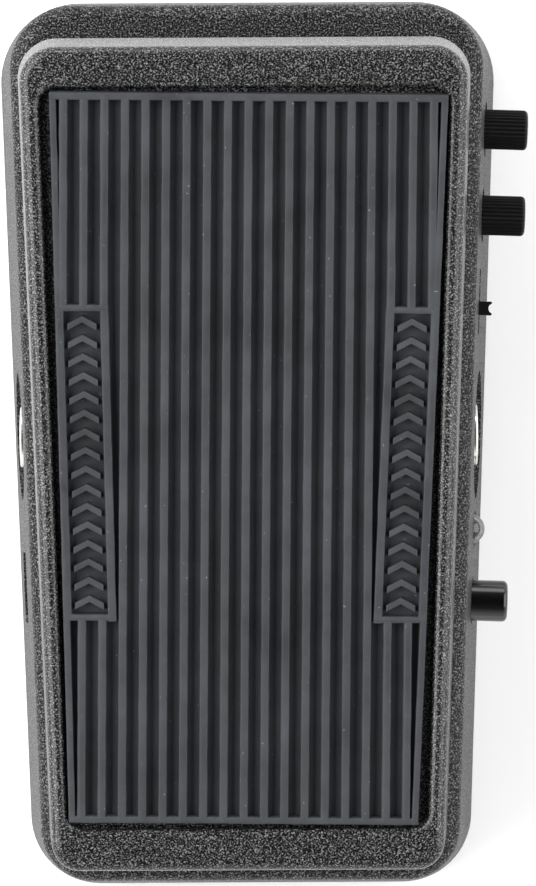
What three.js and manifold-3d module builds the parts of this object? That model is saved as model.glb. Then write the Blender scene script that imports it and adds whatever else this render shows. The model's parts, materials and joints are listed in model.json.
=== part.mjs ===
// Compact rocker pedal for a musical instrument: a die-cast housing with a tilting treadle that
// drives a rack and pinion, a toe switch, side controls, two jack sockets and a power socket.
// Units are millimetres. +X is the control side, +Y the toe, +Z up. The floor is z = 0.

import * as THREE from "three";
import { mergeVertices } from "three/addons/utils/BufferGeometryUtils.js";
import Module from "manifold-3d";

const wasm = await Module();
wasm.setup();

// ---------------------------------------------------------------- driving dimensions

const GAP = 0.3; // between parts that touch
const RUNNING_GAP = 0.08; // radial, between parts that turn or slide in each other
const MERGE_TOLERANCE = 1e-4;
const OVERCUT = 1; // how far a cutting tool runs past the face that it cuts
const ROUND_SIDES = 24;
const SMALL_SIDES = 12;
const CORNER_STEPS = 5;

const BASE_LENGTH = 132;
const BASE_HALF_WIDTH = 35.1; // at mid length and floor level
const BASE_TAPER = 0.036; // half width gained per millimetre towards the toe
const BASE_TOE_RADIUS = 12;
const BASE_HEEL_RADIUS = 10.5;
const BASE_DRAFT = Math.tan(THREE.MathUtils.degToRad(4.65));
const BASE_WALL = 2.6;
const RIM_Z = 2; // lower edge of the housing
const DECK_Z = 38;
const DECK_UNDER_Z = DECK_Z - 2.8;
const SHOULDER_RADIUS = 2.5;
const SIDE_ANGLE = Math.atan(BASE_TAPER);

const PLATE_Z = [2.2, 3.4];
const FOOT_RADIUS = 6.5;
const FOOT_HEIGHT = PLATE_Z[0] - GAP;
const FOOT_PLACES = [[-21, 44], [21, 44], [-19, -45], [19, -45]];
const BOSS_RADIUS = 3.6;
const BOSS_PLACES = [[-27, 56.5], [27, 56.5], [-24.5, -57], [24.5, -57]];
const SCREW_RADIUS = 1.2;
const SCREW_HEAD_RADIUS = 2.6;
const SCREW_TOP_Z = 12;

const PIVOT_Y = -2;
const PIVOT_Z = 44;
const REST_TILT = THREE.MathUtils.degToRad(7.5); // toe up
const ROCKER_X = -0.3; // side play of the treadle on its pivot
const TOWER_HALF_WIDTH = 11;
const TOWER_RADIUS = 5;

// The treadle's own frame has its origin on the pivot axis, and is level when its top is level.
const TREADLE_TOE = 59.45;
const TREADLE_HEEL = -57.8;
const TREADLE_HALF_WIDTH = 29.82;
const TREADLE_TAPER = 0.0322;
const TREADLE_TOE_RADIUS = 5;
const TREADLE_HEEL_RADIUS = 4;
const TREADLE_TOP = 12.6;
const TREADLE_SKIRT = 10.5;
const TREADLE_WALL = 2.2;
const TREADLE_EDGE_RADIUS = 1.5;
const TREADLE_DRAFT = 0.038;
const TREADLE_FLOOR = TREADLE_TOP - 4.6; // underside of its floor
const RECESS_DEPTH = 2.1;
const RECESS_GROWTH = 0.9; // how far the recess stands out round the tread pad

const PAD_TOE = 52.8;
const PAD_HEEL = -50.8;
const PAD_HALF_WIDTH = 26.27;
const PAD_TAPER = 0.0302;
const PAD_TWIST = THREE.MathUtils.degToRad(-0.73); // the pad is glued in slightly askew
const PAD_BASE_HEIGHT = 1;
const PAD_RIB_HEIGHT = 2.3;
const PAD_BORDER = 0.95;
const RIB_COUNT = 19;
const RIB_PITCH = 2.874;
const RIB_WIDTH = 1.2;
const PANEL_CENTRE_Y = 0.6;
const PANEL_HALF_LENGTH = 22.4;
const PANEL_WIDTH = 7.4;
const PANEL_HEIGHT = 1.9;

const SHAFT_RADIUS = 2;
const SHAFT_HALF_LENGTH = 18.5;
const BUSHING_RADIUS = 3;
const BUSHING_INNER_END = 4; // distance from the centre line
const FLANGE_RADIUS = 4.5;
const FLANGE_WIDTH = 1;
const LUG_INNER_X = 13;
const LUG_OUTER_X = 17.5;
const LUG_RADIUS = 5.2;

const HANGER_Y = 22; // treadle frame
const HANGER_SCREW_Y = HANGER_Y - 7;
const HANGER_THICKNESS = 1.3;
const HANGER_PIN_Z = -2.5; // treadle frame
const HANGER_PIN_RADIUS = 1.5;
const RACK_Y = 19.85;
const RACK_HALF_WIDTH = 3;
const RACK_HALF_DEPTH = 2.5;
const RACK_BOTTOM_Z = 19.5;
const GEAR_MODULE = 0.8;
const PINION_TEETH = 12;
const PINION_RADIUS = (GEAR_MODULE * PINION_TEETH) / 2;
const TOOTH_HALF_HEIGHT = 0.55;
const TOOTH_HALF_WIDTH = 0.47; // at the pitch line
const TOOTH_SLOPE = 0.36; // side slope of a tooth
const MESH_GAP = 0.15;
const ROOT_CLEARANCE = 0.2;
const PINION_HALF_LENGTH = 2.6;
const PINION_Y = RACK_Y - RACK_HALF_DEPTH - PINION_RADIUS - MESH_GAP;
const PINION_Z = 27;
const POT_RADIUS = 8;
const POT_DEPTH = 6;
const POT_FACE_X = -6.5;
const POT_NECK_RADIUS = 3.5;
const POT_SHAFT_RADIUS = 2.2;
const BRACKET_THICKNESS = 1;

const FOOTSWITCH_Y = 42;
const FOOTSWITCH_HALF_WIDTH = 8.5;
const FOOTSWITCH_NECK_RADIUS = 6;
const WASHER_THICKNESS = 0.8;
const PLUNGER_RADIUS = 4;
const PLUNGER_TOP_Z = 46.3;

const BUMPER_RADIUS = 5;
const BUMPER_TOP_Z = 45.2;
const HEEL_BUMPER_PLACES = [[-12, -50], [12, -50]];
const TOE_BUMPER_PLACES = [[-21, 48], [21, 48]];

const JACK_Z = 19;
const JACK_Y = 1;
const JACK_RECESS_RADIUS = 9.4;
const JACK_CUP_WALL = 1.2;
const JACK_CUP_FLOOR = 2;
const JACK_RECESS_FLOOR = 29.6; // distance from the centre line
const JACK_BUSHING_RADIUS = 4.75;
const JACK_BORE_RADIUS = 3.3;
const JACK_BUSHING_END = 33.5;
const JACK_BODY_START = 14.5;
const JACK_NUT_THICKNESS = 2;
const DC_Y = -21.2;
const DC_Z = 17;
const DC_OPENING_HALF = [5.2, 4.5];
const DC_FACE_X = -29.2;

// Side controls, in the frame of the right-hand wall: x outwards from the wall's foot,
// y towards the toe along the wall, z up.
const KNOB_PLACES = [45.5, 32.95];
const KNOB_Z = 24;
const KNOB_RADIUS = 2.9;
const KNOB_PROTRUSION = 6.1;
const KNOB_SINK = 1.2; // how far it reaches into the wall
const KNOB_CLEARANCE = 0.9;
const KNOB_FLUTES = 24;
const CONTROL_SHAFT_RADIUS = 1.5;
const CONTROL_POT_HALF_WIDTH = 4.8;
const CONTROL_POT_HALF_HEIGHT = 5.5;
const CONTROL_POT_DEPTH = 7;
const SLOT_Y = 20.3;
const SLOT_Z = 26;
const SLOT_LENGTH = 9.5;
const SLOT_HEIGHT = 2.6;
const SLIDER_OFFSET_Y = -1; // the slider's position from the middle of its slot
const SLIDER_PROTRUSION = 1.8;
const SWITCH_HALF_HEIGHT = 3;
const LED_Y = -12.9;
const LED_RADIUS = 2.2;
const LED_PROTRUSION = 1.5;
const LED_FLANGE = 0.5;
const BUTTON_Y = -23.4;
const BUTTON_RADIUS = 3;
const BUTTON_PROTRUSION = 5.1;
const BUTTON_STEM_RADIUS = 1.5;
const BUTTON_STEM_LENGTH = 4;
const LOW_CONTROL_Z = 20;

const BOARD_Z = [9.6, 11.2];
const BOARD_TOP = BOARD_Z[1] + GAP;

// ---------------------------------------------------------------- materials

const finish = (color, roughness, metalness) => ({ color, roughness, metalness });
const POWDER_COAT = finish(0x2b2c2e, 0.75, 0.1);
const RUBBER = finish(0x2a2d31, 0.9, 0);
const BLACK_PLASTIC = finish(0x141414, 0.55, 0);
const GLOSSY_PLASTIC = finish(0x0c0c0c, 0.2, 0);
const WHITE_PLASTIC = finish(0xe6e3da, 0.5, 0);
const STEEL = finish(0x9fa2a6, 0.35, 1);
const NICKEL = finish(0xd9d9d6, 0.2, 1);
const BRASS = finish(0xb59a55, 0.35, 1);
const BOARD = finish(0x1f5a36, 0.6, 0);
const FERRITE = finish(0x3a3a3c, 0.7, 0);
const LENS = finish(0xe9eef0, 0.1, 0);

// ---------------------------------------------------------------- solids

// Signed volume: positive where the faces point outwards.
function signedVolume(position, index) {
  let six = 0;
  const [a, b, c] = [new THREE.Vector3(), new THREE.Vector3(), new THREE.Vector3()];
  for (let i = 0; i < index.length; i += 3) {
    a.fromBufferAttribute(position, index[i]);
    b.fromBufferAttribute(position, index[i + 1]);
    c.fromBufferAttribute(position, index[i + 2]);
    six += a.dot(b.cross(c));
  }
  return six / 6;
}

// A closed geometry as a solid that can be joined and cut.
function solid(geometry) {
  geometry.deleteAttribute("normal");
  geometry.deleteAttribute("uv");
  const merged = mergeVertices(geometry, MERGE_TOLERANCE);
  const position = merged.getAttribute("position");
  const all = merged.getIndex().array;
  const kept = [];
  for (let i = 0; i < all.length; i += 3) {
    const [a, b, c] = [all[i], all[i + 1], all[i + 2]];
    if (a !== b && b !== c && c !== a) {
      kept.push(a, b, c);
    }
  }
  if (signedVolume(position, kept) < 0) {
    kept.reverse();
  }
  const mesh = new wasm.Mesh({
    numProp: 3,
    vertProperties: new Float32Array(position.array),
    triVerts: new Uint32Array(kept),
  });
  return new wasm.Manifold(mesh);
}

function geometryOf(body) {
  const mesh = body.getMesh();
  const geometry = new THREE.BufferGeometry();
  geometry.setAttribute("position", new THREE.BufferAttribute(mesh.vertProperties, 3));
  geometry.setIndex(new THREE.BufferAttribute(mesh.triVerts, 1));
  geometry.computeVertexNormals();
  return geometry;
}

// A block between two corners.
function block([x0, y0, z0], [x1, y1, z1]) {
  const geometry = new THREE.BoxGeometry(x1 - x0, y1 - y0, z1 - z0);
  return solid(geometry.translate((x0 + x1) / 2, (y0 + y1) / 2, (z0 + z1) / 2));
}

// Turns a geometry made along +Z so that it runs along the named axis.
function along(axis, geometry) {
  if (axis === "x") {
    return geometry.rotateY(Math.PI / 2);
  }
  if (axis === "y") {
    return geometry.rotateX(-Math.PI / 2);
  }
  return geometry;
}

// A turned part: pairs of radius and distance along the axis, starting and ending on the axis.
function turned(profile, axis = "z", at = [0, 0, 0], sides = ROUND_SIDES) {
  const points = profile.map(([radius, distance]) => new THREE.Vector2(radius, distance));
  const geometry = new THREE.LatheGeometry(points, sides).rotateX(Math.PI / 2);
  return solid(along(axis, geometry).translate(...at));
}

function rod(radius, from, to, axis = "z", at = [0, 0, 0], sides = ROUND_SIDES) {
  return turned([[0, from], [radius, from], [radius, to], [0, to]], axis, at, sides);
}

function ring(outer, inner, from, to, axis = "z", at = [0, 0, 0], sides = ROUND_SIDES) {
  const hole = rod(inner, from - OVERCUT, to + OVERCUT, axis, at, sides);
  return rod(outer, from, to, axis, at, sides).subtract(hole);
}

// A flat outline pushed along an axis.
function pushed(points, from, to, axis = "z", at = [0, 0, 0]) {
  const outline = new THREE.Shape(points.map(([x, y]) => new THREE.Vector2(x, y)));
  const geometry = new THREE.ExtrudeGeometry(outline, { depth: to - from, bevelEnabled: false });
  return solid(along(axis, geometry.translate(0, 0, from)).translate(...at));
}

// A hexagonal nut with a round hole.
function nut(acrossFlats, bore, from, to, axis, at) {
  const corner = acrossFlats / Math.sqrt(3);
  const corners = [];
  for (let i = 0; i < 6; i += 1) {
    const angle = (i * Math.PI) / 3;
    corners.push([corner * Math.cos(angle), corner * Math.sin(angle)]);
  }
  return pushed(corners, from, to, axis, at).subtract(
    rod(bore, from - OVERCUT, to + OVERCUT, axis, at),
  );
}

// The two distances from the centre line on one side, as a span along X in rising order.
function span(side, near, far) {
  return [side * near, side * far].sort((a, b) => a - b);
}

// ---------------------------------------------------------------- tapered outlines

// A long rounded outline that is wider at the toe, drawn in by inset all round.
function outline(plan, inset) {
  const angle = Math.atan(plan.taper);
  const stretch = Math.hypot(1, plan.taper);
  const points = [];
  const corner = (side, y, radius, from, to) => {
    const x = side * (plan.halfWidth + plan.taper * y - radius * stretch);
    for (let i = 0; i <= CORNER_STEPS; i += 1) {
      const turn = from + ((to - from) * i) / CORNER_STEPS;
      const reach = radius - inset;
      points.push([x + reach * Math.cos(turn), y + reach * Math.sin(turn)]);
    }
  };
  const quarter = Math.PI / 2;
  corner(1, plan.toe - plan.toeRadius, plan.toeRadius, -angle, quarter);
  corner(-1, plan.toe - plan.toeRadius, plan.toeRadius, quarter, 2 * quarter + angle);
  corner(-1, plan.heel + plan.heelRadius, plan.heelRadius, 2 * quarter + angle, 3 * quarter);
  corner(1, plan.heel + plan.heelRadius, plan.heelRadius, 3 * quarter, 4 * quarter - angle);
  return points;
}

// A solid through a stack of levels, each a height and an inset of the same plan.
function stacked(plan, levels) {
  const rings = levels.map(([z, inset]) => outline(plan, inset).map(([x, y]) => [x, y, z]));
  const count = rings[0].length;
  const top = (rings.length - 1) * count;
  const index = [];
  for (let level = 0; level < top; level += count) {
    for (let i = 0; i < count; i += 1) {
      const here = level + i;
      const next = level + ((i + 1) % count);
      index.push(here, next, next + count, here, next + count, here + count);
    }
  }
  for (let i = 1; i < count - 1; i += 1) {
    index.push(0, i + 1, i);
    index.push(top, top + i, top + i + 1);
  }
  const geometry = new THREE.BufferGeometry();
  geometry.setAttribute("position", new THREE.Float32BufferAttribute(rings.flat(2), 3));
  geometry.setIndex(index);
  return solid(geometry);
}

// Levels of a quarter-round edge that ends flat at z = top.
function roundedEdge(top, radius, inset, steps = 3) {
  const levels = [];
  for (let i = 0; i <= steps; i += 1) {
    const turn = (i * Math.PI) / 2 / steps;
    levels.push([top - radius + radius * Math.sin(turn), inset + radius * (1 - Math.cos(turn))]);
  }
  return levels;
}

const BASE_PLAN = {
  halfWidth: BASE_HALF_WIDTH,
  taper: BASE_TAPER,
  toe: BASE_LENGTH / 2,
  heel: -BASE_LENGTH / 2,
  toeRadius: BASE_TOE_RADIUS,
  heelRadius: BASE_HEEL_RADIUS,
};
const TREADLE_PLAN = {
  halfWidth: TREADLE_HALF_WIDTH,
  taper: TREADLE_TAPER,
  toe: TREADLE_TOE,
  heel: TREADLE_HEEL,
  toeRadius: TREADLE_TOE_RADIUS,
  heelRadius: TREADLE_HEEL_RADIUS,
};
const PAD_PLAN = {
  halfWidth: PAD_HALF_WIDTH,
  taper: PAD_TAPER,
  toe: PAD_TOE,
  heel: PAD_HEEL,
  toeRadius: 1,
  heelRadius: 1,
};

// Outer face of a side wall in the wall's frame, and the nearest that a part inside may come.
const wallFace = (z) => -z * BASE_DRAFT;
const insideWall = (z) => wallFace(z) - BASE_WALL - GAP;

// ---------------------------------------------------------------- the scene graph

const pedal = new THREE.Group();
const base = new THREE.Group();
const rocker = new THREE.Group();
const controls = new THREE.Group();
pedal.add(base);
base.add(rocker, controls);
rocker.position.set(ROCKER_X, PIVOT_Y, PIVOT_Z);
rocker.rotation.x = REST_TILT;
controls.position.x = BASE_HALF_WIDTH;
controls.rotation.z = -SIDE_ANGLE;

function part(group, name, body, look) {
  const mesh = new THREE.Mesh(geometryOf(body), new THREE.MeshStandardMaterial(look));
  mesh.name = name;
  group.add(mesh);
}

// A tool made in the side wall's frame, moved to the housing's frame.
function onControlWall(body) {
  const degrees = THREE.MathUtils.radToDeg(-SIDE_ANGLE);
  return body.rotate([0, 0, degrees]).translate([BASE_HALF_WIDTH, 0, 0]);
}

// ---------------------------------------------------------------- housing

function jackCup(side) {
  const reach = span(side, JACK_RECESS_FLOOR - JACK_CUP_FLOOR, BASE_HALF_WIDTH);
  return rod(JACK_RECESS_RADIUS + JACK_CUP_WALL, ...reach, "x", [0, JACK_Y, JACK_Z]);
}

function jackCuts(side) {
  const outside = BASE_HALF_WIDTH + 5;
  const at = [0, JACK_Y, JACK_Z];
  const recess = rod(JACK_RECESS_RADIUS, ...span(side, JACK_RECESS_FLOOR, outside), "x", at);
  const bore = rod(JACK_BUSHING_RADIUS + GAP, ...span(side, JACK_RECESS_FLOOR - 5, outside), "x", at);
  return recess.add(bore);
}

function wallCuts() {
  const inner = wallFace(DECK_Z) - BASE_WALL - OVERCUT;
  let cuts = rod(LED_RADIUS + GAP, inner, OVERCUT, "x", [0, LED_Y, LOW_CONTROL_Z]);
  cuts = cuts.add(rod(BUTTON_RADIUS + GAP, inner, OVERCUT, "x", [0, BUTTON_Y, LOW_CONTROL_Z]));
  for (const y of KNOB_PLACES) {
    cuts = cuts.add(rod(KNOB_RADIUS + KNOB_CLEARANCE, inner, OVERCUT, "x", [0, y, KNOB_Z]));
  }
  const [halfLength, halfHeight] = [SLOT_LENGTH / 2, SLOT_HEIGHT / 2];
  cuts = cuts.add(
    block(
      [inner, SLOT_Y - halfLength, SLOT_Z - halfHeight],
      [OVERCUT, SLOT_Y + halfLength, SLOT_Z + halfHeight],
    ),
  );
  return onControlWall(cuts);
}

function housing() {
  const shoulder = (DECK_Z - SHOULDER_RADIUS) * BASE_DRAFT;
  const outer = stacked(BASE_PLAN, [
    [RIM_Z, RIM_Z * BASE_DRAFT],
    ...roundedEdge(DECK_Z, SHOULDER_RADIUS, shoulder),
  ]);
  const cavity = stacked(BASE_PLAN, [
    [RIM_Z - OVERCUT, BASE_WALL - wallFace(RIM_Z - OVERCUT)],
    [DECK_UNDER_Z - SHOULDER_RADIUS, BASE_WALL - wallFace(DECK_UNDER_Z - SHOULDER_RADIUS)],
    [DECK_UNDER_Z, BASE_WALL + shoulder + 1.2],
  ]);
  let shell = outer.subtract(cavity);
  for (const [x, y] of BOSS_PLACES) {
    const boss = rod(BOSS_RADIUS, PLATE_Z[1] + GAP, DECK_UNDER_Z + OVERCUT, "z", [x, y, 0]);
    shell = shell.add(boss.intersect(outer));
  }
  shell = shell.add(jackCup(1).add(jackCup(-1)).intersect(outer));
  const [x, y] = [TOWER_HALF_WIDTH, TOWER_RADIUS];
  shell = shell.add(block([-x, PIVOT_Y - y, DECK_UNDER_Z], [x, PIVOT_Y + y, PIVOT_Z]));
  shell = shell.add(rod(y, -x, x, "x", [0, PIVOT_Y, PIVOT_Z]));
  for (const [bossX, bossY] of BOSS_PLACES) {
    const at = [bossX, bossY, 0];
    shell = shell.subtract(
      rod(SCREW_RADIUS + GAP, 0, SCREW_TOP_Z + GAP, "z", at, SMALL_SIDES),
    );
  }
  const axisAt = [0, PIVOT_Y, PIVOT_Z];
  shell = shell.subtract(rod(BUSHING_RADIUS + GAP, -x - OVERCUT, x + OVERCUT, "x", axisAt));
  shell = shell.subtract(
    block([-7, RACK_Y - 4.5, DECK_UNDER_Z - OVERCUT], [7, RACK_Y + 5.2, DECK_Z + OVERCUT]),
  );
  const neck = FOOTSWITCH_NECK_RADIUS + GAP;
  shell = shell.subtract(
    rod(neck, DECK_UNDER_Z - OVERCUT, DECK_Z + OVERCUT, "z", [0, FOOTSWITCH_Y, 0]),
  );
  shell = shell.subtract(jackCuts(1)).subtract(jackCuts(-1)).subtract(wallCuts());
  const [halfLength, halfHeight] = DC_OPENING_HALF;
  return shell.subtract(
    block(
      [-BASE_HALF_WIDTH - 5, DC_Y - halfLength, DC_Z - halfHeight],
      [-27, DC_Y + halfLength, DC_Z + halfHeight],
    ),
  );
}

function basePlate() {
  const inset = BASE_WALL + PLATE_Z[1] * BASE_DRAFT + GAP;
  let plate = stacked(BASE_PLAN, [[PLATE_Z[0], inset], [PLATE_Z[1], inset]]);
  for (const [x, y] of BOSS_PLACES) {
    const at = [x, y, 0];
    plate = plate.subtract(rod(SCREW_RADIUS + GAP, 0, PLATE_Z[1] + OVERCUT, "z", at, SMALL_SIDES));
  }
  return plate;
}

// A pan-head screw whose head is below the plate, with a cross recess.
function plateScrew() {
  const top = PLATE_Z[0] - GAP;
  const profile = [
    [0, 0.8],
    [1.8, 0.8],
    [SCREW_HEAD_RADIUS, 1.2],
    [SCREW_HEAD_RADIUS, top],
    [SCREW_RADIUS, top],
    [SCREW_RADIUS, SCREW_TOP_Z],
    [0, SCREW_TOP_Z],
  ];
  const screw = turned(profile, "z", [0, 0, 0], SMALL_SIDES);
  const slot = block([-1.5, -0.3, 0], [1.5, 0.3, 1.4]);
  return screw.subtract(slot.add(slot.rotate([0, 0, 90])));
}

function foot() {
  return turned([
    [0, 0],
    [FOOT_RADIUS - 0.5, 0],
    [FOOT_RADIUS, 0.5],
    [FOOT_RADIUS, FOOT_HEIGHT],
    [0, FOOT_HEIGHT],
  ]);
}

part(base, "base_housing", housing(), POWDER_COAT);
part(base, "base_plate", basePlate(), STEEL);
BOSS_PLACES.forEach(([x, y], i) => {
  part(base, `base_plate_screw_${i + 1}`, plateScrew().translate([x, y, 0]), STEEL);
});
FOOT_PLACES.forEach(([x, y], i) => {
  part(base, `rubber_foot_${i + 1}`, foot().translate([x, y, 0]), RUBBER);
});

// ---------------------------------------------------------------- treadle and pivot

function treadle() {
  const skirt = TREADLE_TOP - TREADLE_SKIRT;
  const flare = (z) => (z - TREADLE_TOP) * TREADLE_DRAFT;
  const outer = stacked(TREADLE_PLAN, [
    [skirt, flare(skirt)],
    ...roundedEdge(TREADLE_TOP, TREADLE_EDGE_RADIUS, 0),
  ]);
  const hollow = stacked(TREADLE_PLAN, [
    [skirt - OVERCUT, TREADLE_WALL + flare(skirt)],
    [TREADLE_FLOOR, TREADLE_WALL],
  ]);
  const recess = stacked(PAD_PLAN, [
    [TREADLE_TOP - RECESS_DEPTH, -RECESS_GROWTH],
    [TREADLE_TOP + OVERCUT, -RECESS_GROWTH],
  ]);
  let shell = outer.subtract(hollow).subtract(recess);
  for (const side of [-1, 1]) {
    const [from, to] = span(side, LUG_INNER_X, LUG_OUTER_X);
    const web = block([from, -LUG_RADIUS, 0], [to, LUG_RADIUS, TREADLE_FLOOR + 0.5]);
    const lug = web.add(rod(LUG_RADIUS, from, to, "x"));
    const grub = rod(SCREW_RADIUS + GAP, -LUG_RADIUS - OVERCUT, 0, "z", [(from + to) / 2, 0, 0]);
    const bore = rod(SHAFT_RADIUS + GAP, from - OVERCUT, to + OVERCUT, "x");
    shell = shell.add(lug.subtract(bore).subtract(grub));
  }
  const pilot = rod(1.5, TREADLE_FLOOR - OVERCUT, TREADLE_FLOOR + 1.7, "z", [0, HANGER_SCREW_Y, 0]);
  return shell.subtract(pilot);
}

// One grip panel: a raised frame round a sunk floor, and the space that it clears among the ribs.
function gripPanel(side) {
  const [low, high] = [PANEL_CENTRE_Y - PANEL_HALF_LENGTH, PANEL_CENTRE_Y + PANEL_HALF_LENGTH];
  const outerEdge = (y) => side * (PAD_HALF_WIDTH + PAD_TAPER * y);
  const innerEdge = (y) => outerEdge(y) - side * PANEL_WIDTH;
  const corners = [
    [outerEdge(low), low],
    [outerEdge(high), high],
    [innerEdge(high), high],
    [innerEdge(low), low],
  ];
  const slab = (from, to) => pushed(corners, from, to);
  const middle = (outerEdge(0) + innerEdge(0)) / 2;
  const frame = slab(PAD_BASE_HEIGHT - 0.5, PAD_RIB_HEIGHT);
  const floor = block(
    [middle - PANEL_WIDTH / 2 + 1.6, low + 1, PANEL_HEIGHT - 0.7],
    [middle + PANEL_WIDTH / 2 - 1.6, high - 1, PAD_RIB_HEIGHT + OVERCUT],
  );
  return { clear: slab(PAD_BASE_HEIGHT, PAD_RIB_HEIGHT + OVERCUT), frame: frame.subtract(floor) };
}

function treadPad() {
  const full = stacked(PAD_PLAN, [[0, 0], [PAD_RIB_HEIGHT, 0]]);
  const well = stacked({ ...PAD_PLAN, toeRadius: 2, heelRadius: 2 }, [
    [PAD_BASE_HEIGHT, PAD_BORDER],
    [PAD_RIB_HEIGHT + OVERCUT, PAD_BORDER],
  ]);
  let ribs = null;
  for (let i = 0; i < RIB_COUNT; i += 1) {
    const x = (i - (RIB_COUNT - 1) / 2) * RIB_PITCH;
    const rib = block(
      [x - RIB_WIDTH / 2, PAD_HEEL + 0.5, PAD_BASE_HEIGHT - 0.5],
      [x + RIB_WIDTH / 2, PAD_TOE - 0.5, PAD_RIB_HEIGHT],
    );
    ribs = ribs ? ribs.add(rib) : rib;
  }
  let pad = full.subtract(well).add(ribs.intersect(full));
  for (const side of [-1, 1]) {
    const panel = gripPanel(side);
    pad = pad.subtract(panel.clear).add(panel.frame);
  }
  const z = TREADLE_TOP - RECESS_DEPTH + GAP;
  return pad.rotate([0, 0, THREE.MathUtils.radToDeg(PAD_TWIST)]).translate([0, 0, z]);
}

// A flanged bush, its flange on the side that the sign points to.
function bushing(side) {
  const face = TOWER_HALF_WIDTH + GAP;
  const sleeve = span(side, BUSHING_INNER_END, face + FLANGE_WIDTH / 2);
  const flange = span(side, face, face + FLANGE_WIDTH);
  const body = rod(BUSHING_RADIUS, ...sleeve, "x").add(rod(FLANGE_RADIUS, ...flange, "x"));
  return body
    .subtract(rod(SHAFT_RADIUS + RUNNING_GAP, -20, 20, "x"))
    .translate([0, PIVOT_Y, PIVOT_Z]);
}

part(rocker, "treadle", treadle(), POWDER_COAT);
part(rocker, "tread_pad", treadPad(), RUBBER);
part(rocker, "pivot_shaft", rod(SHAFT_RADIUS, -SHAFT_HALF_LENGTH, SHAFT_HALF_LENGTH, "x"), STEEL);
part(base, "pivot_bushing_left", bushing(-1), BRASS);
part(base, "pivot_bushing_right", bushing(1), BRASS);
for (const [word, side] of [["left", -1], ["right", 1]]) {
  const at = [(side * (LUG_INNER_X + LUG_OUTER_X)) / 2, 0, 0];
  const screw = rod(SCREW_RADIUS, -LUG_RADIUS + 0.3, -SHAFT_RADIUS - GAP, "z", at, SMALL_SIDES);
  part(rocker, `pivot_set_screw_${word}`, screw, STEEL);
}

// ---------------------------------------------------------------- rack and pinion

// A steel clevis under the treadle, whose cross pin carries the rack.
function hanger() {
  const top = TREADLE_FLOOR - GAP;
  const under = top - HANGER_THICKNESS;
  const [inner, outer, halfDepth] = [4, 5.2, 3.5];
  let body = block([-outer, HANGER_SCREW_Y - 4, under], [outer, HANGER_Y + halfDepth, top]);
  for (const side of [-1, 1]) {
    const [from, to] = span(side, inner, outer);
    const ear = block([from, HANGER_Y - halfDepth, HANGER_PIN_Z], [to, HANGER_Y + halfDepth, top]);
    const end = rod(2.5, from, to, "x", [0, HANGER_Y, HANGER_PIN_Z]);
    body = body.add(ear).add(end);
  }
  const pinHole = rod(HANGER_PIN_RADIUS + GAP, -8, 8, "x", [0, HANGER_Y, HANGER_PIN_Z]);
  const screwHole = rod(1.5, under - OVERCUT, top + OVERCUT, "z", [0, HANGER_SCREW_Y, 0]);
  return body.subtract(pinHole).subtract(screwHole);
}

function hangerScrew() {
  const head = TREADLE_FLOOR - GAP - HANGER_THICKNESS - GAP;
  const [headRadius, headHeight] = [2.4, 1.4];
  const tip = TREADLE_FLOOR + 1.4;
  const profile = [
    [0, head - headHeight],
    [headRadius, head - headHeight],
    [headRadius, head],
    [SCREW_RADIUS, head],
    [SCREW_RADIUS, tip],
    [0, tip],
  ];
  return turned(profile, "z", [0, HANGER_SCREW_Y, 0], SMALL_SIDES);
}

// Height at rest of a point in the treadle's frame.
const tiltedZ = (y, z) => PIVOT_Z + y * Math.sin(REST_TILT) + z * Math.cos(REST_TILT);
const PIN_Z = tiltedZ(HANGER_Y, HANGER_PIN_Z);

// One tooth, as an outline from root to tip; x runs along the pitch line, y out of it.
function toothOutline(root) {
  const half = (y) => TOOTH_HALF_WIDTH - y * TOOTH_SLOPE;
  const tip = TOOTH_HALF_HEIGHT;
  return [[-half(root), root], [half(root), root], [half(tip), tip], [-half(tip), tip]];
}

function pinion() {
  const root = PINION_RADIUS - TOOTH_HALF_HEIGHT - ROOT_CLEARANCE;
  const half = PINION_HALF_LENGTH;
  let gear = rod(root, -half, half);
  const tooth = toothOutline(-TOOTH_HALF_HEIGHT - 0.6);
  for (let i = 0; i < PINION_TEETH; i += 1) {
    const turn = (i * 2 * Math.PI) / PINION_TEETH;
    const points = tooth.map(([x, y]) => {
      const reach = PINION_RADIUS + y;
      return [
        reach * Math.cos(turn) - x * Math.sin(turn),
        reach * Math.sin(turn) + x * Math.cos(turn),
      ];
    });
    gear = gear.add(pushed(points, -half, half));
  }
  gear = gear.subtract(rod(POT_SHAFT_RADIUS + GAP, -half - OVERCUT, half + OVERCUT));
  // The gear is made about Z with a tooth on +X, and turned so that its axis is X.
  return gear.rotate([90, 0, 90]).translate([0, PINION_Y, PINION_Z]);
}

function rack() {
  const pitch = Math.PI * GEAR_MODULE;
  const rootY = RACK_Y - RACK_HALF_DEPTH + TOOTH_HALF_HEIGHT + ROOT_CLEARANCE;
  const w = RACK_HALF_WIDTH - GAP;
  let body = block([-w, rootY, RACK_BOTTOM_Z], [w, RACK_Y + RACK_HALF_DEPTH, PIN_Z - 2]);
  const head = block([-w, RACK_Y - 4, PIN_Z - 3.2], [w, RACK_Y + 4, PIN_Z + 3.2]);
  const slotHalfHeight = HANGER_PIN_RADIUS + 0.2;
  const slotHalfDepth = HANGER_PIN_RADIUS + 0.9;
  const slot = block(
    [-w - OVERCUT, RACK_Y - slotHalfDepth, PIN_Z - slotHalfHeight],
    [w + OVERCUT, RACK_Y + slotHalfDepth, PIN_Z + slotHalfHeight],
  );
  for (let i = -2; i <= 3; i += 1) {
    const z = PINION_Z + (i + 0.5) * pitch;
    const points = toothOutline(-TOOTH_HALF_HEIGHT - 0.6);
    const tooth = pushed(points, -w, w).rotate([90, 0, 90]);
    // Made with its tip along +Z; a turn about X points the tip at the pinion.
    body = body.add(tooth.rotate([90, 0, 0]).translate([0, RACK_Y - RACK_HALF_DEPTH, z]));
  }
  return body.add(head).subtract(slot);
}

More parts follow.
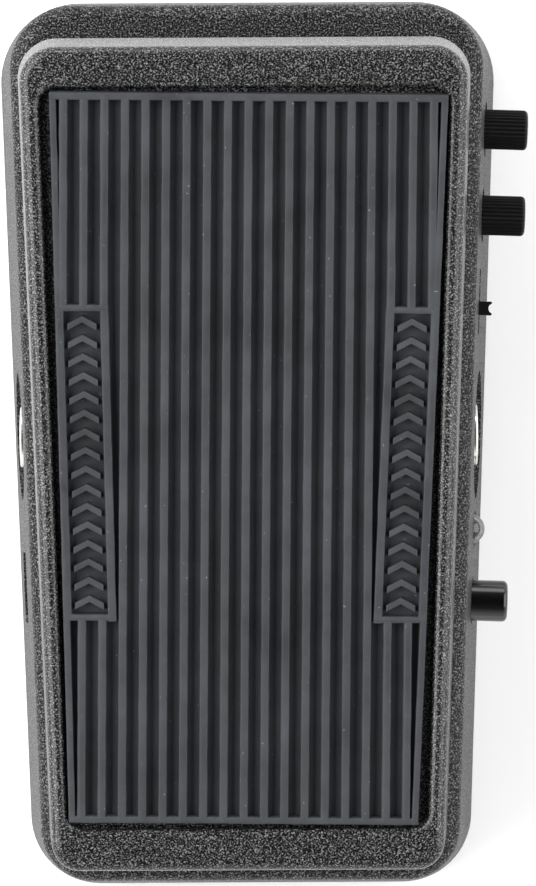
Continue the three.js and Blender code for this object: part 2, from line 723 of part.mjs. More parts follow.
// A channel that holds the rack from behind and from both sides.
function rackGuide() {
  const top = DECK_UNDER_Z - GAP;
  const inner = RACK_HALF_WIDTH;
  const outer = RACK_HALF_WIDTH + 1.6;
  const back = RACK_Y + RACK_HALF_DEPTH + 0.2;
  const body = block([-outer, RACK_Y - 1.5, 16], [outer, back + 1.6, top]);
  return body.subtract(block([-inner, RACK_Y - 3, 15], [inner, back, top + OVERCUT]));
}

const potAt = [0, PINION_Y, PINION_Z];

function sensorPot() {
  const body = rod(POT_RADIUS, POT_FACE_X - POT_DEPTH, POT_FACE_X, "x", potAt);
  const neck = rod(POT_NECK_RADIUS, POT_FACE_X - 1, POT_FACE_X + 3, "x", potAt);
  const terminals = block(
    [POT_FACE_X - 5, PINION_Y - 4, PINION_Z - POT_RADIUS - 3],
    [POT_FACE_X - 4, PINION_Y + 4, PINION_Z - POT_RADIUS + 2],
  );
  const bore = rod(POT_SHAFT_RADIUS + RUNNING_GAP, POT_FACE_X - 4, POT_FACE_X + 4, "x", potAt);
  return body.add(neck).add(terminals).subtract(bore);
}

function sensorBracket() {
  const [x0, x1] = [POT_FACE_X + GAP, POT_FACE_X + GAP + BRACKET_THICKNESS];
  const top = DECK_UNDER_Z - GAP;
  const upright = block([x0, PINION_Y - 7, PINION_Z - 7], [x1, RACK_Y - 5.5, top]);
  const flange = block([x0 - 7, PINION_Y - 7, top - 1], [x1, PINION_Y + 1, top]);
  const hole = rod(POT_NECK_RADIUS + GAP, x0 - OVERCUT, x1 + OVERCUT, "x", potAt);
  const potSpace = rod(POT_RADIUS + GAP, x0 - 8, x0, "x", potAt);
  return upright.add(flange).subtract(hole).subtract(potSpace);
}

function sensorNut() {
  const start = POT_FACE_X + GAP + BRACKET_THICKNESS + GAP;
  return nut(9.5, POT_NECK_RADIUS + GAP, start, start + 1.2, "x", potAt);
}

part(rocker, "rack_hanger", hanger(), STEEL);
part(rocker, "rack_hanger_screw", hangerScrew(), STEEL);
part(
  rocker,
  "rack_cross_pin",
  rod(HANGER_PIN_RADIUS, -6.3, 6.3, "x", [0, HANGER_Y, HANGER_PIN_Z], SMALL_SIDES),
  STEEL,
);
part(base, "gear_rack", rack(), WHITE_PLASTIC);
part(base, "rack_guide", rackGuide(), BLACK_PLASTIC);
part(base, "pinion_gear", pinion(), WHITE_PLASTIC);
part(base, "sensor_pot_body", sensorPot(), STEEL);
part(base, "sensor_pot_shaft", rod(POT_SHAFT_RADIUS, POT_FACE_X - 3.5, 2.9, "x", potAt), STEEL);
part(base, "sensor_pot_bracket", sensorBracket(), STEEL);
part(base, "sensor_pot_nut", sensorNut(), NICKEL);

// ---------------------------------------------------------------- foot switch and bumpers

const switchAt = [0, FOOTSWITCH_Y, 0];

function footswitch() {
  const half = FOOTSWITCH_HALF_WIDTH;
  const body = block(
    [-half, FOOTSWITCH_Y - half, 15],
    [half, FOOTSWITCH_Y + half, DECK_UNDER_Z - 2],
  );
  const neck = rod(FOOTSWITCH_NECK_RADIUS, DECK_UNDER_Z - 3, 42.4, "z", switchAt);
  return body.add(neck).subtract(rod(PLUNGER_RADIUS + 0.1, 30.4, 44, "z", switchAt));
}

function plunger() {
  const radius = PLUNGER_RADIUS;
  return turned(
    [
      [0, 33.5],
      [radius, 33.5],
      [radius, PLUNGER_TOP_Z - 1.4],
      [radius * 0.8, PLUNGER_TOP_Z - 0.5],
      [radius * 0.4, PLUNGER_TOP_Z],
      [0, PLUNGER_TOP_Z],
    ],
    "z",
    switchAt,
  );
}

function footswitchWasher() {
  const start = DECK_Z + GAP;
  const bore = FOOTSWITCH_NECK_RADIUS + GAP;
  return ring(FOOTSWITCH_HALF_WIDTH, bore, start, start + WASHER_THICKNESS, "z", switchAt);
}

function footswitchNut() {
  const start = DECK_Z + GAP + WASHER_THICKNESS + GAP;
  return nut(14, FOOTSWITCH_NECK_RADIUS + GAP, start, start + 2, "z", switchAt);
}

function bumper([x, y]) {
  const foot = DECK_Z + GAP;
  const profile = [
    [0, foot],
    [BUMPER_RADIUS, foot],
    [BUMPER_RADIUS - 0.8, BUMPER_TOP_Z - 0.6],
    [BUMPER_RADIUS - 1.6, BUMPER_TOP_Z],
    [0, BUMPER_TOP_Z],
  ];
  return turned(profile, "z", [x, y, 0], SMALL_SIDES);
}

part(base, "footswitch_body", footswitch(), STEEL);
part(base, "footswitch_washer", footswitchWasher(), NICKEL);
part(base, "footswitch_nut", footswitchNut(), NICKEL);
part(base, "footswitch_plunger", plunger(), NICKEL);
for (const [word, places] of [["heel", HEEL_BUMPER_PLACES], ["toe", TOE_BUMPER_PLACES]]) {
  part(base, `${word}_bumper_left`, bumper(places[0]), RUBBER);
  part(base, `${word}_bumper_right`, bumper(places[1]), RUBBER);
}

// ---------------------------------------------------------------- side controls

// A fluted knob along +X, with a blind bore for its shaft.
function knob(y) {
  const from = wallFace(KNOB_Z) - KNOB_SINK;
  const to = wallFace(KNOB_Z) + KNOB_PROTRUSION;
  const points = [];
  for (let i = 0; i < KNOB_FLUTES * 2; i += 1) {
    const angle = (i * Math.PI) / KNOB_FLUTES;
    const reach = i % 2 ? KNOB_RADIUS - 0.22 : KNOB_RADIUS;
    points.push([reach * Math.cos(angle), reach * Math.sin(angle)]);
  }
  const at = [0, y, KNOB_Z];
  const fluted = pushed(points, from, to, "x", at);
  const crown = turned(
    [[0, from], [KNOB_RADIUS, from], [KNOB_RADIUS, to - 0.4], [KNOB_RADIUS - 0.4, to], [0, to]],
    "x",
    at,
  );
  const bore = rod(CONTROL_SHAFT_RADIUS + GAP, from - OVERCUT, to - 1.8, "x", at, SMALL_SIDES);
  return fluted.intersect(crown).subtract(bore);
}

const controlPotFace = insideWall(KNOB_Z + CONTROL_POT_HALF_HEIGHT);

function controlPot(y) {
  const back = controlPotFace - CONTROL_POT_DEPTH;
  const at = [0, y, KNOB_Z];
  const [width, height] = [CONTROL_POT_HALF_WIDTH, CONTROL_POT_HALF_HEIGHT];
  const body = block([back, y - width, KNOB_Z - height], [controlPotFace, y + width, KNOB_Z + height]);
  const bore = CONTROL_SHAFT_RADIUS + RUNNING_GAP;
  return body.subtract(rod(bore, back + 2, 0, "x", at, SMALL_SIDES));
}

function controlShaft(y) {
  const tip = wallFace(KNOB_Z) + KNOB_PROTRUSION - 2.2;
  return rod(CONTROL_SHAFT_RADIUS, controlPotFace - 4.5, tip, "x", [0, y, KNOB_Z], SMALL_SIDES);
}

const sliderFace = insideWall(SLOT_Z + SWITCH_HALF_HEIGHT);

function rangeSwitch() {
  const half = SWITCH_HALF_HEIGHT;
  const body = block(
    [sliderFace - 6, SLOT_Y - 7, SLOT_Z - half],
    [sliderFace, SLOT_Y + 7, SLOT_Z + half],
  );
  const track = block(
    [sliderFace - 3.5, SLOT_Y - SLOT_LENGTH / 2, SLOT_Z - 1.1],
    [sliderFace + OVERCUT, SLOT_Y + SLOT_LENGTH / 2, SLOT_Z + 1.1],
  );
  return body.subtract(track);
}

// The slider's outer face is hollowed for a fingernail.
function rangeSlider() {
  const y = SLOT_Y + SLIDER_OFFSET_Y;
  const tip = wallFace(SLOT_Z) + SLIDER_PROTRUSION;
  const body = block([sliderFace - 3.2, y - 1, SLOT_Z - 0.95], [tip, y + 1, SLOT_Z + 0.95]);
  return body.subtract(rod(0.75, -2, 2, "z", [tip + 0.25, y, SLOT_Z], SMALL_SIDES));
}

const buttonBack = wallFace(LOW_CONTROL_Z) - 2.4;
const buttonAt = [0, BUTTON_Y, LOW_CONTROL_Z];

function boostButton() {
  const tip = wallFace(LOW_CONTROL_Z) + BUTTON_PROTRUSION;
  return turned(
    [
      [0, buttonBack - BUTTON_STEM_LENGTH],
      [BUTTON_STEM_RADIUS, buttonBack - BUTTON_STEM_LENGTH],
      [BUTTON_STEM_RADIUS, buttonBack],
      [BUTTON_RADIUS, buttonBack],
      [BUTTON_RADIUS, tip - 0.6],
      [BUTTON_RADIUS - 0.2, tip - 0.2],
      [BUTTON_RADIUS - 0.7, tip],
      [0, tip],
    ],
    "x",
    buttonAt,
  );
}

function boostSwitch() {
  const face = buttonBack - 2.2;
  const [y, z] = [BUTTON_Y, LOW_CONTROL_Z];
  const body = block([face - 11, y - 4, BOARD_TOP], [face, y + 4, z + 4]);
  return body.subtract(rod(BUTTON_STEM_RADIUS + 0.1, face - 5, face + OVERCUT, "x", buttonAt));
}

const ledBack = wallFace(LOW_CONTROL_Z) - BASE_WALL - 2;

function led() {
  const back = ledBack;
  const tip = wallFace(LOW_CONTROL_Z) + LED_PROTRUSION;
  const flange = LED_RADIUS + LED_FLANGE;
  const profile = [[0, back], [flange, back], [flange, back + 1], [LED_RADIUS, back + 1]];
  for (let i = 0; i <= 5; i += 1) {
    const turn = (i * Math.PI) / 10;
    profile.push([LED_RADIUS * Math.cos(turn), tip - LED_RADIUS * (1 - Math.sin(turn))]);
  }
  profile[profile.length - 1][0] = 0;
  return turned(profile, "x", [0, LED_Y, LOW_CONTROL_Z], 24);
}

function ledHolder() {
  const face = ledBack - GAP;
  return block([face - 4, LED_Y - 2.7, BOARD_TOP], [face, LED_Y + 2.7, LOW_CONTROL_Z + 3]);
}

KNOB_PLACES.forEach((y, i) => {
  part(controls, `control_pot_body_${i + 1}`, controlPot(y), BLACK_PLASTIC);
  part(controls, `control_pot_shaft_${i + 1}`, controlShaft(y), STEEL);
  part(controls, `control_knob_${i + 1}`, knob(y), BLACK_PLASTIC);
});
part(controls, "range_switch_body", rangeSwitch(), STEEL);
part(controls, "range_switch_slider", rangeSlider(), BLACK_PLASTIC);
part(controls, "boost_switch_body", boostSwitch(), BLACK_PLASTIC);
part(controls, "boost_button", boostButton(), GLOSSY_PLASTIC);
part(controls, "status_led", led(), LENS);
part(controls, "led_holder", ledHolder(), BLACK_PLASTIC);
part(
  controls,
  "side_circuit_board",
  block([controlPotFace - 8.9, 12.5, 14], [controlPotFace - 7.3, 52, 33]),
  BOARD,
);

// ---------------------------------------------------------------- sockets and main board

const jackBack = JACK_RECESS_FLOOR - JACK_CUP_FLOOR - GAP;

function jackBody(side) {
  const [from, to] = span(side, JACK_BODY_START, jackBack);
  const body = block([from, JACK_Y - 8, BOARD_TOP], [to, JACK_Y + 8, JACK_Z + 7.5]);
  const bore = span(side, JACK_BODY_START + 2, jackBack + OVERCUT);
  return body.subtract(rod(JACK_BORE_RADIUS, ...bore, "x", [0, JACK_Y, JACK_Z]));
}

function jackBushing(side) {
  const reach = span(side, jackBack + GAP, JACK_BUSHING_END);
  return ring(JACK_BUSHING_RADIUS, JACK_BORE_RADIUS, ...reach, "x", [0, JACK_Y, JACK_Z]);
}

function jackNut(side) {
  const start = JACK_RECESS_FLOOR + GAP;
  const reach = span(side, start, start + JACK_NUT_THICKNESS);
  return nut(13, JACK_BUSHING_RADIUS + GAP, ...reach, "x", [0, JACK_Y, JACK_Z]);
}

function dcSocket() {
  const body = block(
    [DC_FACE_X, DC_Y - 4.8, BOARD_TOP],
    [DC_FACE_X + 12, DC_Y + 4.8, DC_Z + 5.5],
  );
  return body.subtract(rod(2.9, DC_FACE_X - OVERCUT, DC_FACE_X + 9, "x", [0, DC_Y, DC_Z]));
}

function dcPin() {
  return rod(1, DC_FACE_X + 1, DC_FACE_X + 8.7, "x", [0, DC_Y, DC_Z], SMALL_SIDES);
}

function mainBoard() {
  return block([-25.5, -46, BOARD_Z[0]], [25.5, 30, BOARD_Z[1]]);
}

function inductor() {
  return ring(7, 2.5, BOARD_TOP, BOARD_TOP + 9, "z", [0, -34, 0]);
}

function filterCapacitor() {
  return rod(4, BOARD_TOP, BOARD_TOP + 11, "z", [-14, -38, 0], SMALL_SIDES);
}

for (const [word, side] of [["input", 1], ["output", -1]]) {
  part(base, `${word}_jack_body`, jackBody(side), BLACK_PLASTIC);
  part(base, `${word}_jack_bushing`, jackBushing(side), NICKEL);
  part(base, `${word}_jack_nut`, jackNut(side), NICKEL);
}
part(base, "dc_socket_body", dcSocket(), BLACK_PLASTIC);
part(base, "dc_socket_pin", dcPin(), NICKEL);
part(base, "main_circuit_board", mainBoard(), BOARD);
part(base, "inductor", inductor(), FERRITE);
part(base, "filter_capacitor", filterCapacitor(), BLACK_PLASTIC);

// The origin is below the middle of the whole part's box, which the first knob makes lopsided.
const bounds = new THREE.Box3().setFromObject(pedal, true);
base.position.x = -(bounds.min.x + bounds.max.x) / 2;
base.position.y = -(bounds.min.y + bounds.max.y) / 2;

export default pedal;
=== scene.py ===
"""Looks of a compact rocker pedal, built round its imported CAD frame. Sizes are in millimetres,
and MM turns them into metres."""

import json
import math
from collections import namedtuple

import bmesh
import bpy
from mathutils import Matrix, Vector, noise


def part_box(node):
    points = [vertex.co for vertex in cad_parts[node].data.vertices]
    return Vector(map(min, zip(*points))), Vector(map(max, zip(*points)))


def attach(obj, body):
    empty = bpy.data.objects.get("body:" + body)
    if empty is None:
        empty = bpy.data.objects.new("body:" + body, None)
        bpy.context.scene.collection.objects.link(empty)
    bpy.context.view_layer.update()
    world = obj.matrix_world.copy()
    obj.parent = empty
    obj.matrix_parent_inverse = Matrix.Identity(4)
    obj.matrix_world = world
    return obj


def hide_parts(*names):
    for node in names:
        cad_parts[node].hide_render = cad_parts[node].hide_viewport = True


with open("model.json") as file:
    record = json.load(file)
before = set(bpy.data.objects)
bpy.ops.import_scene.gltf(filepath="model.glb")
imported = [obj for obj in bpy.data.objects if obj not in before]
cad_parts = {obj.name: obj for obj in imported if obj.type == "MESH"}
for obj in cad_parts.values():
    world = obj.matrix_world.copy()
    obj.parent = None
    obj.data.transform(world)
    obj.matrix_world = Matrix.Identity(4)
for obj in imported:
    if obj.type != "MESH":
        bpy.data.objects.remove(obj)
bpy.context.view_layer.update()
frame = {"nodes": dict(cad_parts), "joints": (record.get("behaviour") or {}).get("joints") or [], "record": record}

MM = 0.001
ROUND = 72  # sides of a round part
SMALL_ROUND = 40
CORNER_STEPS = 16
SHARP_ANGLE = math.radians(34)
LEAST_RADIUS = 0.05
CUT_TOLERANCE = 1e-7  # in metres

# ------------------------------------------------------------------ sizes and places

Plan = namedtuple("Plan", "half_width taper toe heel toe_radius heel_radius")
BASE_PLAN = Plan(35.1, 0.036, 66, -66, 12, 10.5)
TREADLE_PLAN = Plan(29.62, 0.0322, 59.35, -57.8, 5, 4)
PAD_PLAN = Plan(26.27, 0.0302, 52.8, -50.8, 1, 1)

BASE_DRAFT = math.tan(math.radians(4.65))
BASE_WALL = 2.6
RIM_Z = 2
PLATE_SCREWS = range(1, 5)
DECK_Z = 38
DECK_UNDER_Z = 35.2
SHOULDER_RADIUS = 2.5
SIDE_ANGLE = math.atan(BASE_PLAN.taper)

REST_TILT = math.radians(7.5)
TREADLE_TOP = 12.6
TREADLE_SKIRT = 10.5
TREADLE_WALL = 2.2
TREADLE_FLOOR = 8
TREADLE_DRAFT = 0.058
TREADLE_EDGE_RADIUS = 1.5
RECESS_DEPTH = 2.1
RECESS_GROWTH = 0.9
RECESS_LIP = (1.2, 0.6)  # width and depth of the rounded edge of the recess
RECESS_CORNER = 1.6
LIP_STEPS = 7
LUG_REACH = (13, 17.5)  # from the middle to the faces of a pivot lug
LUG_RADIUS = 5.2
CROSS_RIB_YS = (-38, -21, 35.5)
SET_SCREW_X = 15.25

PAD_TWIST = math.radians(-0.73)
PAD_BASE = 0.7
PAD_TOP = 2.3
PAD_BORDER = 0.95
RIB_COUNT = 19
RIB_PITCH = 2.874
RIB_WIDTH = 1.18
PANEL_Y = (-21.85, 23)
PANEL_WIDTH = 7.5
PANEL_BAR = 1.2
CHEVRON_COUNT = 16
CHEVRON_HALF = 2.05
CHEVRON_RISE = 1.1
CHEVRON_STROKE = 0.95

JACK_RECESS_RADIUS = 9.4
JACK_RECESS_FLOOR = 29.6
THREAD_HOLE_RADIUS = 5.05
JACK_BORE = 3.3
DC_HALF = (5.2, 4.5)

KNOB_Z = 24
KNOB_RADIUS = 2.9
KNOB_FLUTES = 32
KNOB_LENGTH = 6.1
FLUTE_WAVE = (0, -0.17, -0.2, -0.17)  # how the knurl dips between two crests
SLOT_LENGTH = 9.5
SLOT_HEIGHT = 2.6
SLOT_Y = 20.3
SLOT_Z = 26
SLIDER_Y = SLOT_Y - 1
SLIDER_HALF = 0.95
LED_Y = -12.9
LED_RADIUS = 2.2
LED_SHELL = 0.6
LED_GAP = 0.1
BUTTON_Y = -23.4
BUTTON_RADIUS = 3
BUTTON_EDGE = 0.7
LOW_CONTROL_Z = 20
KNOB_YS = (45.5, 32.95)
KNOB_HOLE = (KNOB_RADIUS + 0.9, 0.35)  # radius, and width of the rounded lip
LED_HOLE = (LED_RADIUS + 0.3, 0.25)
BUTTON_HOLE = (BUTTON_RADIUS + 0.3, 0.25)


def joint(name):
    return next(j for j in frame["joints"] if j["name"] == name)


def middle(node):
    low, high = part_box(node)
    return (low + high) / 2


HOUSING = Matrix.Translation((middle("base_housing").x, 0, 0))
PIVOT = Vector(joint("treadle_tilt")["pos_m"])
ROCKER = Matrix.Translation((middle("pivot_shaft").x, PIVOT.y, PIVOT.z)) @ Matrix.Rotation(
    REST_TILT, 4, "X"
)
PAD_SEAT = Matrix.Translation((0, 0, (TREADLE_TOP - RECESS_DEPTH + 0.3) * MM))
PAD = ROCKER @ PAD_SEAT @ Matrix.Rotation(PAD_TWIST, 4, "Z")
WALL = HOUSING @ Matrix.Translation((BASE_PLAN.half_width * MM, 0, 0)) @ Matrix.Rotation(
    -SIDE_ANGLE, 4, "Z"
)
ALONG_X = Matrix.Rotation(math.radians(90), 4, "Y")
ALONG_MINUS_X = Matrix.Rotation(math.radians(-90), 4, "Y")
SIDE_ON = Matrix(((0, 0, 1, 0), (1, 0, 0, 0), (0, 1, 0, 0), (0, 0, 0, 1)))  # an outline in Y and Z


def at(x, y, z):
    return Matrix.Translation((x * MM, y * MM, z * MM))


def wall_face(z):
    """Outer face of the control wall at a height, in the wall's own frame."""
    return -z * BASE_DRAFT


# ------------------------------------------------------------------ mesh helpers


def new_piece(name, bm, matrix=Matrix.Identity(4)):
    """An object at the origin whose mesh, made in millimetres, lies where matrix puts it."""
    bmesh.ops.recalc_face_normals(bm, faces=bm.faces)
    bmesh.ops.transform(bm, matrix=matrix @ Matrix.Scale(MM, 4), verts=bm.verts)
    mesh = bpy.data.meshes.new(name)
    bm.to_mesh(mesh)
    bm.free()
    piece = bpy.data.objects.new(name, mesh)
    bpy.context.scene.collection.objects.link(piece)
    return piece


def bake_modifiers(piece):
    graph = bpy.context.evaluated_depsgraph_get()
    mesh = bpy.data.meshes.new_from_object(piece.evaluated_get(graph))
    piece.modifiers.clear()
    piece.data = mesh


def combine(piece, tools, operation):
    """Joins or cuts piece with each tool, and removes the tools."""
    group = bpy.data.collections.new("tools")
    bpy.context.scene.collection.children.link(group)
    for helper in tools:
        group.objects.link(helper)
    change = piece.modifiers.new("combine", "BOOLEAN")
    change.operation = operation
    change.solver = "EXACT"
    change.operand_type = "COLLECTION"
    change.collection = group
    change.use_self = operation == "UNION"
    bake_modifiers(piece)
    for helper in tools:
        bpy.data.objects.remove(helper)
    bpy.data.collections.remove(group)


def split_across(piece, matrix, places):
    """Adds an edge loop across a piece at each y, so that no flat face holds many holes."""
    bm = bmesh.new()
    bm.from_mesh(piece.data)
    plane = {"plane_no": matrix.to_3x3() @ Vector((0, 1, 0)), "dist": CUT_TOLERANCE}
    for y in places:
        everything = bm.verts[:] + bm.edges[:] + bm.faces[:]
        point = matrix @ Vector((0, y * MM, 0))
        bmesh.ops.bisect_plane(bm, geom=everything, plane_co=point, **plane)
    bm.to_mesh(piece.data)
    bm.free()


def smooth(piece, angle=SHARP_ANGLE):
    """Smooth shading with sharp creases, where large flat faces keep their flat look."""
    piece.data.shade_smooth()
    piece.data.set_sharp_from_angle(angle=angle)
    change = piece.modifiers.new("normals", "WEIGHTED_NORMAL")
    change.keep_sharp = True
    bake_modifiers(piece)


def outline(plan, inset):
    """Points of a long rounded outline that is wider at the toe, drawn in by inset."""
    angle = math.atan(plan.taper)
    stretch = math.hypot(1, plan.taper)
    quarter = math.pi / 2
    corners = [
        (1, plan.toe - plan.toe_radius, plan.toe_radius, -angle, quarter),
        (-1, plan.toe - plan.toe_radius, plan.toe_radius, quarter, 2 * quarter + angle),
        (-1, plan.heel + plan.heel_radius, plan.heel_radius, 2 * quarter + angle, 3 * quarter),
        (1, plan.heel + plan.heel_radius, plan.heel_radius, 3 * quarter, 4 * quarter - angle),
    ]
    points = []
    for side, y, radius, start, end in corners:
        x = side * (plan.half_width + plan.taper * y - radius * stretch)
        for i in range(CORNER_STEPS + 1):
            turn = start + (end - start) * i / CORNER_STEPS
            reach = max(radius - inset, LEAST_RADIUS)
            points.append((x + reach * math.cos(turn), y + reach * math.sin(turn)))
    return points


def loft(rings):
    """A closed body through rings of points, capped at both ends."""
    bm = bmesh.new()
    rows = [[bm.verts.new(p) for p in ring] for ring in rings]
    for low, high in zip(rows, rows[1:]):
        for i in range(len(low)):
            j = (i + 1) % len(low)
            bm.faces.new((low[i], low[j], high[j], high[i]))
    bm.faces.new(reversed(rows[0]))
    bm.faces.new(rows[-1])
    return bm


def stacked(plan, levels):
    return loft([[(x, y, z) for x, y in outline(plan, inset)] for z, inset in levels])


def rounded_edge(top, radius, inset, steps=8):
    """Levels of a quarter-round edge that ends flat at the top."""
    turns = [math.pi / 2 * i / steps for i in range(steps + 1)]
    return [(top - radius + radius * math.sin(t), inset + radius * (1 - math.cos(t))) for t in turns]


def filleted(points, radius, steps=4):
    """An open profile whose inner corners are rounded, each by less than half of its sides."""
    path = [Vector(p) for p in points]
    share = 1 / 2.01
    result = [path[0]]
    for before, corner, after in zip(path, path[1:], path[2:]):
        reach = min(radius, (before - corner).length * share, (after - corner).length * share)
        start = corner + (before - corner).normalized() * reach
        end = corner + (after - corner).normalized() * reach
        for i in range(steps + 1):
            t = i / steps
            result.append(start * (1 - t) ** 2 + corner * 2 * t * (1 - t) + end * t * t)
    result.append(path[-1])
    return [tuple(p) for p in result]


def turned(profile, sides=ROUND):
    """A body turned about Z from pairs of radius and height. It starts and ends on the axis,
    or it closes on itself as a ring."""
    bm = bmesh.new()
    on_axis = profile[0][0] == 0
    rows = []
    for radius, height in profile:
        if radius == 0:
            rows.append([bm.verts.new((0, 0, height))])
            continue
        turns = [2 * math.pi * i / sides for i in range(sides)]
        rows.append([bm.verts.new((radius * math.cos(t), radius * math.sin(t), height)) for t in turns])
    pairs = list(zip(rows, rows[1:]))
    if not on_axis:
        pairs.append((rows[-1], rows[0]))
    for low, high in pairs:
        for i in range(sides):
            j = (i + 1) % sides
            around = [low[0], low[0]] if len(low) == 1 else [low[i], low[j]]
            around += [high[0], high[0]] if len(high) == 1 else [high[j], high[i]]
            corners = list(dict.fromkeys(around))
            if len(corners) > 2:
                bm.faces.new(corners)
    return bm


def rod(radius, start, end, sides=ROUND):
    return turned([(0, start), (radius, start), (radius, end), (0, end)], sides)


def block(low, high):
    bm = bmesh.new()
    bmesh.ops.create_cube(bm, size=1)
    size = [h - l for l, h in zip(low, high)]
    centre = [(h + l) / 2 for l, h in zip(low, high)]
    bmesh.ops.scale(bm, vec=size, verts=bm.verts)
    bmesh.ops.translate(bm, vec=centre, verts=bm.verts)
    return bm


def rounded_block(low, high, radius, segments=3):
    bm = block(low, high)
    bmesh.ops.bevel(bm, geom=bm.edges, offset=radius, segments=segments, profile=0.5, affect="EDGES")
    return bm


def pushed(points, start, end):
    """A flat outline pushed along Z."""
    return loft([[(x, y, z) for x, y in points] for z in (start, end)])


def hexagon(across_flats):
    corner = across_flats / math.sqrt(3)
    turns = [math.pi / 3 * k for k in range(6)]
    return [(corner * math.cos(turn), corner * math.sin(turn)) for turn in turns]


def tool(bm, matrix):
    return new_piece("tool", bm, matrix)


def arc(radius, start, end, steps, centre=(0, 0)):
    """Points on part of a circle, in radians from its first axis."""
    turns = [start + (end - start) * i / steps for i in range(steps + 1)]
    return [(centre[0] + radius * math.cos(t), centre[1] + radius * math.sin(t)) for t in turns]


def flared(radius, inner, face, lip):
    """A round cutting tool along Z whose mouth, at z = face, opens in a small rounded lip."""
    steps = 6
    profile = [(0, inner), (radius, inner), (radius, face - lip)]
    for i in range(1, steps + 1):
        turn = math.pi / 2 * i / steps
        profile.append((radius + lip * (1 - math.cos(turn)), face - lip + lip * math.sin(turn)))
    mouth = radius + lip * 1.02
    outside = face + 8
    profile += [(mouth, face + 0.02), (mouth, outside), (0, outside)]
    return turned(profile)


# ------------------------------------------------------------------ materials

Look = namedtuple("Look", "tree shader")


def new_look(name, color, roughness, metallic=0.0, **sockets):
    """A node material; every value that is the same all over is set on the shader's socket."""
    material = bpy.data.materials.new(name)
    material.use_nodes = True
    tree = material.node_tree
    shader = tree.nodes["Principled BSDF"]
    shader.inputs["Base Color"].default_value = (*color, 1)
    shader.inputs["Roughness"].default_value = roughness
    shader.inputs["Metallic"].default_value = metallic
    for socket, value in sockets.items():
        shader.inputs[socket.replace("_", " ")].default_value = value
    return material, Look(tree, shader)


def node(look, kind, **values):
    made = look.tree.nodes.new(kind)
    for key, value in values.items():
        if key in made.inputs:
            made.inputs[key].default_value = value
        else:
            setattr(made, key, value)
    return made


def link(look, source, target):
    look.tree.links.new(source, target)


def grain(look, size, detail=2.0, roughness=0.5, stretch=(1, 1, 1)):
    """Noise whose features are about size millimetres across."""
    place = node(look, "ShaderNodeTexCoord")
    mapping = node(look, "ShaderNodeMapping")
    mapping.inputs["Scale"].default_value = stretch
    made = node(look, "ShaderNodeTexNoise", Scale=0.5 / (size * MM), Detail=detail, Roughness=roughness)
    link(look, place.outputs["Object"], mapping.inputs["Vector"])
    link(look, mapping.outputs["Vector"], made.inputs["Vector"])
    return made.outputs["Fac"]


def ramp(look, source, stops):
    """A colour ramp through (position, grey or colour) stops."""
    made = node(look, "ShaderNodeValToRGB")
    elements = made.color_ramp.elements
    while len(elements) < len(stops):
        elements.new(0.5)
    for element, (position, value) in zip(elements, stops):
        element.position = position
        color = (value,) * 3 if isinstance(value, (int, float)) else value
        element.color = (*color, 1)
    link(look, source, made.inputs["Fac"])
    return made.outputs["Color"]


def bump(look, source, height, strength=1.0, after=None):
    made = node(look, "ShaderNodeBump", Strength=strength, Distance=height * MM)
    link(look, source, made.inputs["Height"])
    if after:
        link(look, after, made.inputs["Normal"])
    return made.outputs["Normal"]


def blend_colors(look, source, first, second):
    made = node(look, "ShaderNodeMix", data_type="RGBA")
    link(look, source, made.inputs["Factor"])
    for socket, value in (("A", first), ("B", second)):
        target = [i for i in made.inputs if i.name == socket and i.type == "RGBA"][0]
        if isinstance(value, tuple):
            target.default_value = (*value, 1)
        else:
            link(look, value, target)
    return [o for o in made.outputs if o.type == "RGBA"][0]


def powder_coat(name, gloss):
    """Black textured powder coat: fine beads whose base colour carries painted glints on the crowns and
    painted shade in the hollows, under a clear skin whose weight is gloss."""
    sockets = {"Specular_IOR_Level": 0.06, "Coat_Weight": gloss, "Coat_Roughness": 0.22}
    material, look = new_look(name, (0.03, 0.031, 0.033), 0.5, **sockets)
    beads = grain(look, 0.125, detail=2.0, roughness=0.6)
    # base colour follows the bead height: near black in the hollows as painted shade, pale on the crowns as
    # painted glints
    stops = [(0.4, 0.0004), (0.49, 0.006), (0.58, 0.055), (0.68, 0.18)]
    link(look, ramp(look, beads, stops), look.shader.inputs["Base Color"])
    link(look, ramp(look, beads, [(0.35, 0.6), (0.7, 0.33)]), look.shader.inputs["Roughness"])
    link(look, bump(look, beads, 0.09, strength=0.9), look.shader.inputs["Normal"])
    return material


def moulded_rubber(name, color, dust):
    """Matt rubber with cloudy bloom and a few pale specks of dust."""
    material, look = new_look(name, color, 0.6, Specular_IOR_Level=0.35)
    cloud = grain(look, 5, detail=5, roughness=0.65)
    specks = grain(look, 0.24, detail=1)
    tone = blend_colors(look, ramp(look, cloud, [(0.35, 0.0), (0.7, 1.0)]), color, dust)
    spots = ramp(look, specks, [(0.765, 0.0), (0.81, 1.0)])
    light = tuple(min(1, c * 4) for c in dust)
    link(look, blend_colors(look, spots, tone, light), look.shader.inputs["Base Color"])
    link(look, ramp(look, cloud, [(0.3, 0.52), (0.7, 0.72)]), look.shader.inputs["Roughness"])
    skin = bump(look, grain(look, 0.9, detail=2), 0.03)
    link(look, bump(look, grain(look, 0.25, detail=3), 0.02, after=skin), look.shader.inputs["Normal"])
    return material


def plastic(name, color, roughness, height=0.008, **sockets):
    """Moulded plastic with a faint mottle and uneven wear."""
    material, look = new_look(name, color, roughness, **sockets)
    mottle = grain(look, 0.25, detail=2)
    lighter = tuple(min(1, c * 1.5 + 0.003) for c in color)
    tone = blend_colors(look, ramp(look, mottle, [(0.3, 0.0), (0.8, 1.0)]), color, lighter)
    link(look, tone, look.shader.inputs["Base Color"])
    wear = ramp(look, grain(look, 3, detail=3), [(0.3, roughness), (0.75, min(1, roughness + 0.1))])
    link(look, wear, look.shader.inputs["Roughness"])
    link(look, bump(look, mottle, height), look.shader.inputs["Normal"])
    return material


